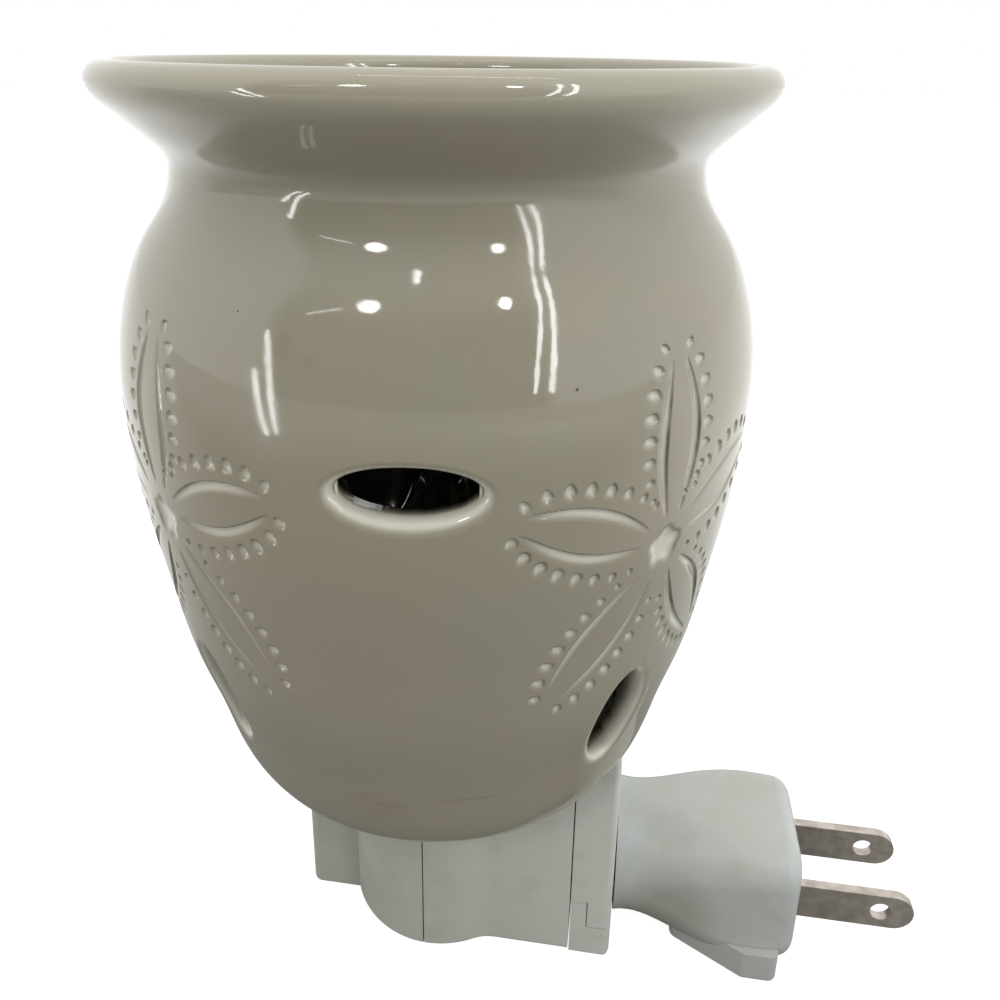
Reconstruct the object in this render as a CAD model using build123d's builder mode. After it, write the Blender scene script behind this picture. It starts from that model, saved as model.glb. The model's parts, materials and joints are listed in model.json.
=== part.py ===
from build123d import *
import os
from math import cos, radians, sin

# Plug-in wax melt warmer, in millimetres.
# +X runs along the plug towards the wall, +Z is up.
# The origin is on the lamp's axis, at the flat underside of the plastic base.
# A glazed ceramic vase with a wax dish in its mouth stands over a candelabra bulb.
# The bulb's holder sits in a two-part plastic housing, and a plug turns in its end bracket.

# Ceramic vase: radii are shares of body_radius, heights shares of body_height above the foot
body_radius = 44.1
body_height = 105.9
ceramic_wall = 3.6
rim_radius = 44.3
rim_bead = 2.4
foot_radius = 24.5
foot_thickness = 4.2
lower_profile_shares = (
    (0.687, 0.036),
    (0.761, 0.088),
    (0.811, 0.161),
    (0.878, 0.253),
    (0.927, 0.357),
    (0.971, 0.461),
    (0.996, 0.565),
)
widest_share = (1.0, 0.620)
shoulder_share = (0.977, 0.705)
upper_profile_shares = (
    (0.961, 0.731),
    (0.900, 0.792),
    (0.830, 0.839),
)
neck_share = (0.807, 0.881)
throat_share = (0.866, 0.917)
under_lip_share = (0.949, 0.948)
dish_depth = 22.0
dish_floor = 4.2
dish_corner = 7.0
dish_neck_wall = 4.4
dish_lip_wall = 4.6
cavity_corner = 5.0

# Vents in the vase
upper_vent_width = 15.4
upper_vent_height = 6.6
upper_vent_height_share = 0.611
upper_vent_turn = -83.4
upper_vent_count = 4
lower_vent_width = 7.6
lower_vent_height = 16.6
lower_vent_height_share = 0.243
lower_vent_turn = -41.0
lower_vent_count = 4

# Plastic base
tower_radius = 15.4
base_wall = 2.0
box_half_width = 12.5
lobe_half_width = 6.4
lobe_length = 22.7
lobe_height = 31.0
lobe_edge = 1.6
tower_box_blend = 7.0
base_edge = 0.8
seam_gap = 0.2
seam_setback = 0.5
rear_length = 23.3
tower_top = 38.0
tower_neck_floor = 26.5
flange_radius = 19.4
flange_thickness = 2.2
seat_height = 34.0
seat_gap = 0.3
foot_hole_radius = 17.0
notch_gap = 0.7
box_height = 40.4

# Swivel bracket at the end of the base, in two lapped halves
bracket_length = 6.8
bracket_edge = 1.0
lap_skin = 2.1
lap_step_length = 2.8
lap_step_height = 10.7
lap_low_height = 5.6
lap_gap = 0.15

# Turning plug
plug_axis_height = 11.6
plug_gap = 0.3
journal_radius = 7.0
running_gap = 0.05
swivel_flange_radius = 9.0
swivel_flange_thickness = 2.2
swivel_flange_setback = 2.3
flange_gap = 0.15
hub_back = 0.7
plug_length = 29.2
plug_face_edge = 3.0
plug_station_shares = (0.0, 0.16, 0.40, 0.66, 1.0)
plug_half_width_shares = (0.875, 0.865, 0.925, 0.975, 0.925)
plug_half_height_shares = (0.905, 0.895, 0.950, 0.975, 0.955)
plug_corner_shares = (0.86, 0.84, 0.66, 0.50, 0.46)
plug_rise_shares = (0.045, 0.045, 0.015, 0.0, 0.0)
plug_half_width = 12.0
plug_half_height = 11.6
cover_height = 5.4
cover_length = 16.8
cover_taper_length = 11.2
cover_front_setback = 2.6
cover_half_width = 13.1
cover_tip_half_width = 7.1
cover_corner = 1.5
cover_edge = 0.6
cover_gap = 0.1

# Blades of a two-pin plug with flat parallel blades
blade_width = 6.35
blade_thickness = 1.5
blade_spacing = 12.7
blade_reach = 18.3
blade_root = 8.0
blade_hole_radius = 1.65
blade_hole_reach = 13.2
blade_clearance = 0.05

# Contacts between the turning plug and the fixed base
plug_cavity_half_width = 8.6
plug_cavity_height = 16.0
plug_cavity_length = 14.0
plug_front_wall = 5.0
link_width = 3.0
link_thickness = 0.8
link_end_gap = 0.2
cross_link_setback = 1.2
ring_outer_radius = 6.2
ring_inner_radius = 4.4
ring_thickness = 1.0
pin_contact_radius = 1.5
pin_contact_reach = 2.0
contact_gap = 0.1
leaf_thickness = 0.4
leaf_width = 3.0
leaf_foot_height = 4.0
leaf_foot_length = 3.0
leaf_tip_length = 3.4
rivet_radius = 0.9
rivet_proud = 0.4
carrier_thickness = 2.4
carrier_back = 16.6
carrier_height = 19.5
carrier_gap = 0.3

# Candelabra lamp holder and bulb
holder_radius = 8.6
holder_bottom = 17.0
holder_top = 40.0
holder_flange_radius = 11.0
holder_flange_low = 30.2
holder_flange_thickness = 2.6
holder_gap = 0.15
holder_recess_radius = 6.6
holder_web = 3.0
socket_radius = 6.4
socket_wall = 0.35
socket_depth = 15.0
socket_lip_gap = 0.8
contact_tab_width = 2.4
contact_tab_thickness = 0.6
contact_tab_low = 20.0
centre_contact_radius = 2.6
centre_contact_thickness = 0.5
small_gap = 0.05
bulb_cap_radius = 5.75
bulb_cap_height = 12.6
thread_pitch = 2.54
thread_depth = 0.3
bulb_insulator_height = 1.6
bulb_tip_radius = 1.9
bulb_tip_height = 0.8
bulb_radius = 11.0
bulb_length = 41.0
bulb_neck_radius = 5.4
bulb_glass_wall = 0.7
bulb_profile_shares = ((0.76, 0.13), (1.0, 0.36), (0.88, 0.66), (0.45, 0.90))
stem_radius = 2.3
stem_height = 15.0
filament_height = 22.0
filament_half_width = 5.0
filament_radius = 0.3
support_radius = 0.3

# Rocker switch in the lobe
switch_centre_height = 14.0
switch_height = 14.8
switch_width = 8.7
switch_depth = 10.9
switch_setback = 0.3
switch_wall = 1.0
rocker_length = 11.6
rocker_end_depth = 2.4
rocker_dip_depth = 1.7
rocker_heel_depth = 0.6
rocker_back_depth = 1.4
rocker_back_length = 4.4
rocker_gap = 0.15
rocker_sweep = 0.6
rocker_pivot_depth = 3.4
rocker_pin_radius = 1.0
rocker_pin_reach = 0.75
rocker_tilt = 8.0
terminal_width = 4.0
terminal_thickness = 0.8
terminal_length = 5.0
terminal_low = 5.0
terminal_high = 0.6

# Screws of the bracket
screw_radius = 1.25
screw_length = 14.0
screw_head_radius = 2.4
screw_head_height = 1.5
screw_spread = 8.4
screw_drop = 8.9
screw_slot_width = 0.7
screw_slot_length = 3.1
screw_slot_depth = 0.7
boss_radius = 2.6
boss_length = 9.0

# Wires inside the base
wire_radius = 0.8
wire_bend = 2.5
wire_turn_radius = 1.0

overrun = 1.0

foot_height = seat_height + seat_gap
crest_height = foot_height + body_height
roof_height = min(tower_top, box_height)
screw_height = box_height - screw_drop
bracket_start = rear_length
bracket_end = rear_length + bracket_length
plug_start = bracket_end + plug_gap
plug_end = plug_start + plug_length
flange_back = bracket_end - swivel_flange_setback - swivel_flange_thickness
hub_start = bracket_start - hub_back
os.makedirs("parts", exist_ok=True)


def outer_point(shares):
    return (shares[0] * body_radius, foot_height + shares[1] * body_height)


def inner_point(shares):
    return (shares[0] * body_radius - ceramic_wall, foot_height + shares[1] * body_height)


def radial_plane(height, turn):
    direction = Vector(cos(radians(turn)), sin(radians(turn)), 0)
    sideways = Vector(-sin(radians(turn)), cos(radians(turn)), 0)
    return Plane(origin=(0, 0, height), x_dir=sideways, z_dir=direction)


def axis_plane(along):
    return Plane(origin=(along, 0, plug_axis_height), x_dir=(0, 1, 0), z_dir=(1, 0, 0))


def finish(piece, label):
    piece.part.label = label
    export_step(piece.part, "parts/" + label + ".step")


# Ceramic vase with its wax dish, vents, lamp hole and the notch for the base
dish_bottom = crest_height - dish_depth
rim_point = (rim_radius, crest_height - rim_bead)
crest_point = (rim_radius - rim_bead, crest_height)
lip_inner = (rim_radius - rim_bead - rim_bead, crest_height - rim_bead)
neck_point = outer_point(neck_share)
throat_point = outer_point(throat_share)
throat_radius = neck_point[0] - dish_neck_wall
cavity_top = dish_bottom - dish_floor
cavity_shoulder = inner_point(shoulder_share)
cavity_floor_radius = inner_point(lower_profile_shares[0])[0]
widest_point = outer_point(widest_share)

with BuildPart() as ceramic_body:
    with BuildSketch(Plane.XZ):
        with BuildLine():
            Line((0, foot_height), (foot_radius, foot_height))
            Spline(
                (foot_radius, foot_height),
                *[outer_point(shares) for shares in lower_profile_shares],
                widest_point,
            )
            Spline(
                widest_point,
                *[outer_point(shares) for shares in upper_profile_shares],
                neck_point,
                tangents=((0, 1), (0, 1)),
            )
            Spline(
                neck_point,
                throat_point,
                outer_point(under_lip_share),
                rim_point,
                tangents=((0, 1), (0, 1)),
            )
            TangentArc(rim_point, crest_point, tangent=(0, 1))
            TangentArc(crest_point, lip_inner, tangent=(-1, 0))
            Spline(
                lip_inner,
                (throat_point[0] - dish_lip_wall, throat_point[1]),
                (throat_radius, neck_point[1]),
                tangents=((0, -1), (0, -1)),
            )
            Line((throat_radius, neck_point[1]), (throat_radius, dish_bottom + dish_corner))
            TangentArc(
                (throat_radius, dish_bottom + dish_corner),
                (throat_radius - dish_corner, dish_bottom),
                tangent=(0, -1),
            )
            Line((throat_radius - dish_corner, dish_bottom), (0, dish_bottom))
            Line((0, dish_bottom), (0, foot_height))
        make_face()
    revolve(axis=Axis.Z)
    with BuildSketch(Plane.XZ):
        with BuildLine():
            Polyline(
                (0, cavity_top),
                (0, foot_height - overrun),
                (foot_hole_radius, foot_height - overrun),
                (foot_hole_radius, foot_height + foot_thickness),
                (cavity_floor_radius, foot_height + foot_thickness),
            )
            Spline(
                (cavity_floor_radius, foot_height + foot_thickness),
                *[inner_point(shares) for shares in lower_profile_shares[1:]],
                inner_point(widest_share),
                cavity_shoulder,
            )
            Line(cavity_shoulder, (cavity_shoulder[0] - cavity_corner, cavity_top))
            Line((cavity_shoulder[0] - cavity_corner, cavity_top), (0, cavity_top))
        make_face()
    revolve(axis=Axis.Z, mode=Mode.SUBTRACT)
    for number in range(upper_vent_count):
        turn = upper_vent_turn + number * 360 / upper_vent_count
        vent_height = foot_height + upper_vent_height_share * body_height
        with BuildSketch(radial_plane(vent_height, turn)):
            Ellipse(upper_vent_width / 2, upper_vent_height / 2)
        extrude(amount=body_radius + overrun, mode=Mode.SUBTRACT)
    for number in range(lower_vent_count):
        turn = lower_vent_turn + number * 360 / lower_vent_count
        vent_height = foot_height + lower_vent_height_share * body_height
        with BuildSketch(radial_plane(vent_height, turn)):
            Ellipse(lower_vent_width / 2, lower_vent_height / 2)
        extrude(amount=body_radius + overrun, mode=Mode.SUBTRACT)
    with BuildSketch(Plane.XY.offset(foot_height - overrun)):
        with Locations((body_radius / 2, 0)):
            Rectangle(body_radius, (box_half_width + notch_gap) * 2)
    extrude(amount=box_height + notch_gap - foot_height + overrun, mode=Mode.SUBTRACT)
finish(ceramic_body, "ceramic_body")


# Plan of the base below the flange: round tower, box towards the plug, lobe away from it
def plan_outline(inset, box_end):
    with BuildSketch() as plan:
        Circle(tower_radius - inset)
        with Locations((box_end / 2, 0)):
            Rectangle(box_end, (box_half_width - inset) * 2)
        corners = plan.vertices().filter_by_position(Axis.X, base_wall, tower_radius - inset)
        fillet(corners, tower_box_blend)
        with Locations((-(lobe_length - inset) / 2, 0)):
            Rectangle(lobe_length - inset, (lobe_half_width - inset) * 2)
        fillet(plan.vertices().group_by(Axis.X)[0], lobe_edge)
    return plan.sketch


with BuildPart() as housing_blank:
    with BuildSketch():
        add(plan_outline(0, rear_length))
    extrude(amount=lobe_height)
    with BuildSketch(Plane.XY.offset(lobe_height)):
        Circle(tower_radius)
    extrude(amount=tower_top - lobe_height)
    with BuildSketch(Plane.XY.offset(lobe_height)):
        with Locations((rear_length / 2, 0)):
            Rectangle(rear_length, box_half_width * 2)
    extrude(amount=roof_height - lobe_height)
    with BuildSketch(Plane.XY.offset(lobe_height)):
        with Locations(((rear_length + foot_hole_radius) / 2, 0)):
            Rectangle(rear_length - foot_hole_radius, box_half_width * 2)
    extrude(amount=box_height - lobe_height)
    with BuildSketch(Plane.XY.offset(seat_height - flange_thickness)):
        Circle(flange_radius)
    extrude(amount=flange_thickness)
    under_edges = housing_blank.faces().sort_by(Axis.Z)[0].edges()
    fillet(under_edges.filter_by_position(Axis.X, -lobe_length, rear_length - base_wall), base_edge)
    with BuildSketch(Plane.XY.offset(base_wall)):
        add(plan_outline(base_wall, rear_length + overrun))
    extrude(amount=tower_neck_floor - base_wall, mode=Mode.SUBTRACT)
    with BuildSketch(Plane.XY.offset(base_wall)):
        with Locations(((rear_length + foot_hole_radius) / 2, 0)):
            Rectangle(rear_length + overrun * 2 - foot_hole_radius, (box_half_width - base_wall) * 2)
    extrude(amount=box_height - base_wall * 2, mode=Mode.SUBTRACT)
    with BuildSketch(Plane.XY.offset(tower_neck_floor - overrun)):
        Circle(holder_radius + holder_gap)
    extrude(amount=tower_top, mode=Mode.SUBTRACT)
    with BuildSketch(Plane.XY.offset(holder_flange_low - holder_gap)):
        Circle(holder_flange_radius + holder_gap)
    extrude(amount=holder_flange_thickness + holder_gap * 2, mode=Mode.SUBTRACT)
    with BuildSketch(Plane(origin=(-lobe_length - overrun, 0, switch_centre_height),
                           x_dir=(0, 1, 0), z_dir=(1, 0, 0))):
        Rectangle(switch_width + rocker_gap, switch_height + rocker_gap)
    extrude(amount=base_wall + lobe_edge + overrun, mode=Mode.SUBTRACT)

with BuildPart() as housing_front:
    add(housing_blank.part)
    split(bisect_by=Plane.YZ.offset(-seam_setback - seam_gap / 2), keep=Keep.BOTTOM)
finish(housing_front, "housing_front")

with BuildPart() as housing_rear:
    add(housing_blank.part)
    split(bisect_by=Plane.YZ.offset(-seam_setback + seam_gap / 2), keep=Keep.TOP)
    boss_plane = Plane(origin=(rear_length - boss_length, 0, 0), x_dir=(0, 1, 0), z_dir=(1, 0, 0))
    with BuildSketch(boss_plane):
        with Locations((-screw_spread, screw_height), (screw_spread, screw_height)):
            Circle(boss_radius)
    extrude(amount=boss_length)
    with BuildSketch(Plane(origin=(rear_length + overrun, 0, 0), x_dir=(0, 1, 0), z_dir=(1, 0, 0))):
        with Locations((-screw_spread, screw_height), (screw_spread, screw_height)):
            Circle(screw_radius + running_gap)
    extrude(amount=-boss_length - overrun * 2, mode=Mode.SUBTRACT)
finish(housing_rear, "housing_rear")


# Swivel bracket: a block whose two halves lap at the sides and meet at the plug's axis
with BuildPart() as bracket_blank:
    with BuildSketch(Plane.XY):
        with Locations(((bracket_start + bracket_end + seam_gap) / 2, 0)):
            Rectangle(bracket_length - seam_gap, box_half_width * 2)
    extrude(amount=box_height)
    outer_face = bracket_blank.faces().sort_by(Axis.X)[-1]
    fillet(outer_face.edges(), bracket_edge)
    with BuildSketch(axis_plane(bracket_start)):
        Circle(journal_radius + running_gap)
    extrude(amount=bracket_length + overrun, mode=Mode.SUBTRACT)
    with BuildSketch(axis_plane(flange_back - flange_gap)):
        Circle(swivel_flange_radius + flange_gap)
    extrude(amount=swivel_flange_thickness + flange_gap * 2, mode=Mode.SUBTRACT)

with BuildPart() as lower_half:
    with BuildSketch(Plane.XY):
        with Locations(((bracket_start + bracket_end) / 2, 0)):
            Rectangle(bracket_length + overrun, (box_half_width - lap_skin) * 2)
    extrude(amount=plug_axis_height)
    with BuildSketch(Plane.XY):
        with Locations(((bracket_start + bracket_end) / 2, 0)):
            Rectangle(bracket_length + overrun, (box_half_width + overrun) * 2)
    extrude(amount=lap_low_height)
    with BuildSketch(Plane.XY):
        with Locations((bracket_start + lap_step_length / 2 - overrun, 0)):
            Rectangle(lap_step_length + overrun * 2, (box_half_width + overrun) * 2)
    extrude(amount=lap_step_height)

with BuildPart() as swivel_bracket_lower:
    add(bracket_blank.part)
    add(lower_half.part, mode=Mode.INTERSECT)
finish(swivel_bracket_lower, "swivel_bracket_lower")

with BuildPart() as lower_half_room:
    with BuildSketch(Plane.XY.offset(-overrun)):
        with Locations(((bracket_start + bracket_end) / 2, 0)):
            Rectangle(bracket_length + overrun, (box_half_width - lap_skin + lap_gap) * 2)
    extrude(amount=plug_axis_height + lap_gap + overrun)
    with BuildSketch(Plane.XY.offset(-overrun)):
        with Locations(((bracket_start + bracket_end) / 2, 0)):
            Rectangle(bracket_length + overrun, (box_half_width + overrun) * 2)
    extrude(amount=lap_low_height + lap_gap + overrun)
    with BuildSketch(Plane.XY.offset(-overrun)):
        with Locations((bracket_start + lap_step_length / 2 - overrun + lap_gap, 0)):
            Rectangle(lap_step_length + overrun * 2, (box_half_width + overrun) * 2)
    extrude(amount=lap_step_height + lap_gap + overrun)

screw_plane = Plane(origin=(bracket_end, 0, 0), x_dir=(0, 1, 0), z_dir=(1, 0, 0))
with BuildPart() as swivel_bracket_upper:
    add(bracket_blank.part)
    add(lower_half_room.part, mode=Mode.SUBTRACT)
    with Locations(screw_plane):
        with Locations((-screw_spread, screw_height), (screw_spread, screw_height)):
            CounterBoreHole(
                screw_radius + running_gap * 2,
                screw_head_radius + running_gap * 2,
                screw_head_height + running_gap,
            )
finish(swivel_bracket_upper, "swivel_bracket_upper")

with BuildPart() as bracket_screws:
    with BuildSketch(Plane(origin=(bracket_end - screw_head_height, 0, 0), x_dir=(0, 1, 0), z_dir=(1, 0, 0))):
        with Locations((-screw_spread, screw_height), (screw_spread, screw_height)):
            Circle(screw_head_radius)
    extrude(amount=screw_head_height)
    with BuildSketch(screw_plane):
        with Locations((-screw_spread, screw_height), (screw_spread, screw_height)):
            Circle(screw_radius)
    extrude(amount=-screw_length)
    with BuildSketch(screw_plane):
        with Locations((-screw_spread, screw_height), (screw_spread, screw_height)):
            Rectangle(screw_slot_length, screw_slot_width)
            Rectangle(screw_slot_width, screw_slot_length)
    extrude(amount=-screw_slot_depth, mode=Mode.SUBTRACT)
finish(bracket_screws, "bracket_screws")


# Turning plug: neck, flared body, retaining flange and hub, hollow for the links
cover_start = plug_end - cover_front_setback - cover_length
cover_end = plug_end - cover_front_setback
cover_low = plug_axis_height - plug_half_height
link_offset = (blade_spacing - blade_thickness - link_thickness) / 2
cavity_end = plug_end - plug_front_wall
cavity_start = plug_end - plug_cavity_length
link_end = cavity_end - link_end_gap
cross_width = link_offset + link_thickness / 2 + pin_contact_radius
cross_centre = pin_contact_radius - cross_width / 2


# Plan of the cover: narrow towards the neck, full width behind the face
def cover_plan(extra):
    taper_end = cover_start + cover_taper_length
    with BuildSketch() as plan:
        with BuildLine():
            Polyline(
                (cover_start, cover_tip_half_width),
                (taper_end, cover_half_width),
                (cover_end, cover_half_width),
                (cover_end, -cover_half_width),
                (taper_end, -cover_half_width),
                (cover_start, -cover_tip_half_width),
                (cover_start, cover_tip_half_width),
            )
        make_face()
        fillet(plan.vertices(), cover_corner)
        offset(amount=extra)
    return plan.sketch


with BuildPart() as plug_body:
    for index in range(len(plug_station_shares)):
        with BuildSketch(axis_plane(plug_start + plug_station_shares[index] * plug_length)):
            with Locations((0, plug_rise_shares[index] * plug_half_height)):
                RectangleRounded(
                    plug_half_width_shares[index] * plug_half_width * 2,
                    plug_half_height_shares[index] * plug_half_height * 2,
                    plug_corner_shares[index] * plug_half_width,
                )
    loft()
    fillet(plug_body.faces().sort_by(Axis.X)[-1].edges(), plug_face_edge)
    with BuildSketch(axis_plane(plug_start)):
        Circle(journal_radius)
    extrude(amount=hub_start - plug_start)
    with BuildSketch(axis_plane(flange_back)):
        Circle(swivel_flange_radius)
    extrude(amount=swivel_flange_thickness)
    with BuildSketch(Plane.XY.offset(cover_low - overrun)):
        add(cover_plan(cover_gap))
    extrude(amount=cover_height + cover_gap + overrun, mode=Mode.SUBTRACT)
    with BuildSketch(Plane.XY.offset(cover_low)):
        with Locations(((cavity_start + cavity_end) / 2, 0)):
            Rectangle(cavity_end - cavity_start, plug_cavity_half_width * 2)
    extrude(amount=plug_cavity_height, mode=Mode.SUBTRACT)
    for side in (-1, 1):
        with BuildSketch(axis_plane(plug_end + overrun)):
            with Locations((side * blade_spacing / 2, 0)):
                Rectangle(blade_thickness + blade_clearance * 2, blade_width + blade_clearance * 2)
        extrude(amount=cavity_end - plug_end - overrun, mode=Mode.SUBTRACT)
        with BuildSketch(axis_plane(hub_start - overrun)):
            with Locations((side * link_offset, 0)):
                Rectangle(link_thickness + blade_clearance * 2, link_width + blade_clearance * 2)
        extrude(amount=cavity_start - hub_start + overrun * 2, mode=Mode.SUBTRACT)
    with BuildSketch(axis_plane(hub_start - overrun)):
        with Locations((cross_centre, 0)):
            Rectangle(cross_width + blade_clearance * 2, link_width + blade_clearance * 2)
    extrude(amount=overrun + cross_link_setback + link_thickness + blade_clearance, mode=Mode.SUBTRACT)
finish(plug_body, "plug_body")

with BuildPart() as plug_cover:
    with BuildSketch(Plane.XY.offset(cover_low)):
        add(cover_plan(0))
    extrude(amount=cover_height)
    fillet(plug_cover.faces().sort_by(Axis.Z)[0].edges(), cover_edge)
finish(plug_cover, "plug_cover")

blade_start = plug_end - blade_root
blade_centre = plug_end + blade_reach - blade_width / 2
for side, label in ((-1, "blade_neutral"), (1, "blade_line")):
    blade_side = side * blade_spacing / 2 + blade_thickness / 2
    blade_plane = Plane(origin=(0, blade_side, plug_axis_height), x_dir=(1, 0, 0), z_dir=(0, -1, 0))
    with BuildPart() as blade:
        with BuildSketch(blade_plane):
            with Locations(((blade_start + blade_centre) / 2, 0)):
                Rectangle(blade_centre - blade_start, blade_width)
            with Locations((blade_centre, 0)):
                Circle(blade_width / 2)
            with Locations((plug_end + blade_hole_reach, 0)):
                Circle(blade_hole_radius, mode=Mode.SUBTRACT)
        extrude(amount=blade_thickness)
    finish(blade, label)

# Brass links inside the plug, and the two contacts on the hub's end
with BuildPart() as line_link:
    with BuildSketch(axis_plane(hub_start)):
        with Locations((link_offset, 0)):
            Rectangle(link_thickness, link_width)
    extrude(amount=link_end - hub_start)
finish(line_link, "line_link")

cross_start = hub_start + cross_link_setback
with BuildPart() as neutral_link:
    with BuildSketch(axis_plane(cross_start)):
        with Locations((-link_offset, 0)):
            Rectangle(link_thickness, link_width)
    extrude(amount=link_end - cross_start)
    with BuildSketch(axis_plane(cross_start)):
        with Locations((cross_centre, 0)):
            Rectangle(cross_width, link_width)
    extrude(amount=link_thickness)
finish(neutral_link, "neutral_link")

with BuildPart() as slip_ring:
    with BuildSketch(axis_plane(hub_start)):
        Circle(ring_outer_radius)
        Circle(ring_inner_radius, mode=Mode.SUBTRACT)
    extrude(amount=-ring_thickness)
finish(slip_ring, "slip_ring")

with BuildPart() as slip_pin:
    with BuildSketch(axis_plane(cross_start)):
        Circle(pin_contact_radius)
    extrude(amount=-cross_link_setback - pin_contact_reach)
    fillet(slip_pin.faces().sort_by(Axis.X)[0].edges(), pin_contact_radius / 2)
finish(slip_pin, "slip_pin")

# Fixed contacts: an insulating carrier with a leaf for the ring and a leaf for the pin
carrier_front = carrier_back + carrier_thickness
carrier_bottom = base_wall + carrier_gap
ring_mean = (ring_outer_radius + ring_inner_radius) / 2
carrier_plane = Plane(origin=(carrier_back, 0, 0), x_dir=(0, 1, 0), z_dir=(1, 0, 0))
rivet_height = leaf_foot_height + leaf_foot_length / 2
with BuildPart() as contact_carrier:
    with BuildSketch(carrier_plane):
        with Locations((0, carrier_bottom + carrier_height / 2)):
            Rectangle((box_half_width - base_wall - carrier_gap) * 2, carrier_height)
        with Locations((0, rivet_height), (ring_mean, rivet_height)):
            Circle(rivet_radius + small_gap, mode=Mode.SUBTRACT)
    extrude(amount=carrier_thickness)
finish(contact_carrier, "contact_carrier")

ring_leaf_face = hub_start - ring_thickness - contact_gap
pin_leaf_face = hub_start - pin_contact_reach - contact_gap
for label, across, face in (("ring_leaf", ring_mean, ring_leaf_face), ("pin_leaf", 0, pin_leaf_face)):
    bend_low = leaf_foot_height + leaf_foot_length
    bend_high = plug_axis_height - leaf_tip_length / 2
    tip_high = plug_axis_height + leaf_tip_length / 2
    leaf_plane = Plane(origin=(0, across + leaf_width / 2, 0), x_dir=(1, 0, 0), z_dir=(0, -1, 0))
    with BuildPart() as leaf:
        with BuildSketch(leaf_plane):
            with BuildLine():
                Polyline(
                    (carrier_front, leaf_foot_height),
                    (carrier_front + leaf_thickness, leaf_foot_height),
                    (carrier_front + leaf_thickness, bend_low),
                    (face, bend_high),
                    (face, tip_high),
                    (face - leaf_thickness, tip_high),
                    (face - leaf_thickness, bend_high),
                    (carrier_front, bend_low),
                    (carrier_front, leaf_foot_height),
                )
            make_face()
        extrude(amount=leaf_width)
        with BuildSketch(carrier_plane.offset(-rivet_proud)):
            with Locations((across, rivet_height)):
                Circle(rivet_radius)
        extrude(amount=carrier_thickness + rivet_proud)
    finish(leaf, label)

# Lamp holder, held by its flange between the two housing shells
socket_floor = holder_top - socket_depth
with BuildPart() as lamp_holder:
    with BuildSketch(Plane.XY.offset(holder_bottom)):
        Circle(holder_radius)
    extrude(amount=holder_top - holder_bottom)
    with BuildSketch(Plane.XY.offset(holder_flange_low)):
        Circle(holder_flange_radius)
    extrude(amount=holder_flange_thickness)
    with BuildSketch(Plane.XY.offset(socket_floor)):
        Circle(socket_radius + small_gap)
    extrude(amount=socket_depth + overrun, mode=Mode.SUBTRACT)
    with BuildSketch(Plane.XY.offset(holder_bottom - overrun)):
        Circle(holder_recess_radius)
    extrude(amount=socket_floor - holder_web - holder_bottom + overrun, mode=Mode.SUBTRACT)
    with BuildSketch(Plane.XY.offset(holder_bottom)):
        Circle(rivet_radius + small_gap)
        with Locations((socket_radius - contact_tab_thickness / 2, 0)):
            Rectangle(contact_tab_thickness + small_gap * 2, contact_tab_width + small_gap * 2)
    extrude(amount=socket_depth, mode=Mode.SUBTRACT)
finish(lamp_holder, "lamp_holder")

with BuildPart() as socket_shell:
    with BuildSketch(Plane.XY.offset(socket_floor + small_gap)):
        Circle(socket_radius)
        Circle(socket_radius - socket_wall, mode=Mode.SUBTRACT)
    extrude(amount=socket_depth - socket_lip_gap)
    with BuildSketch(Plane.XY.offset(contact_tab_low)):
        with Locations((socket_radius - contact_tab_thickness / 2, 0)):
            Rectangle(contact_tab_thickness, contact_tab_width)
    extrude(amount=socket_floor + small_gap + socket_wall - contact_tab_low)
finish(socket_shell, "socket_shell")

with BuildPart() as centre_contact:
    with BuildSketch(Plane.XY.offset(socket_floor + small_gap)):
        Circle(centre_contact_radius)
    extrude(amount=centre_contact_thickness)
    with BuildSketch(Plane.XY.offset(contact_tab_low)):
        Circle(rivet_radius)
    extrude(amount=socket_floor + small_gap - contact_tab_low)
finish(centre_contact, "centre_contact")

# Candelabra bulb
tip_low = socket_floor + small_gap * 2 + centre_contact_thickness
insulator_low = tip_low + bulb_tip_height
cap_low = insulator_low + bulb_insulator_height
glass_low = cap_low + bulb_cap_height
with BuildPart() as bulb_tip_contact:
    with BuildSketch(Plane.XY.offset(tip_low)):
        Circle(bulb_tip_radius)
    extrude(amount=bulb_tip_height)
    fillet(bulb_tip_contact.faces().sort_by(Axis.Z)[0].edges(), bulb_tip_height / 2)
finish(bulb_tip_contact, "bulb_tip_contact")

with BuildPart() as bulb_insulator:
    with BuildSketch(Plane.XZ):
        with BuildLine():
            Polyline(
                (0, insulator_low),
                (bulb_tip_radius, insulator_low),
                (bulb_cap_radius - thread_depth, cap_low),
                (0, cap_low),
                (0, insulator_low),
            )
        make_face()
    revolve(axis=Axis.Z)
finish(bulb_insulator, "bulb_insulator")

thread_count = int(bulb_cap_height / thread_pitch)
thread_points = []
for number in range(thread_count):
    turn_low = cap_low + number * thread_pitch
    thread_points.append((bulb_cap_radius - thread_depth, turn_low))
    thread_points.append((bulb_cap_radius, turn_low + thread_pitch / 2))
with BuildPart() as bulb_screw_shell:
    with BuildSketch(Plane.XZ):
        with BuildLine():
            Polyline(
                (bulb_neck_radius - bulb_glass_wall, cap_low),
                *thread_points,
                (bulb_cap_radius - thread_depth, cap_low + thread_count * thread_pitch),
                (bulb_cap_radius - thread_depth, glass_low),
                (bulb_neck_radius - bulb_glass_wall, glass_low),
                (bulb_neck_radius - bulb_glass_wall, cap_low),
            )
        make_face()
    revolve(axis=Axis.Z)
finish(bulb_screw_shell, "bulb_screw_shell")

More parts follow.
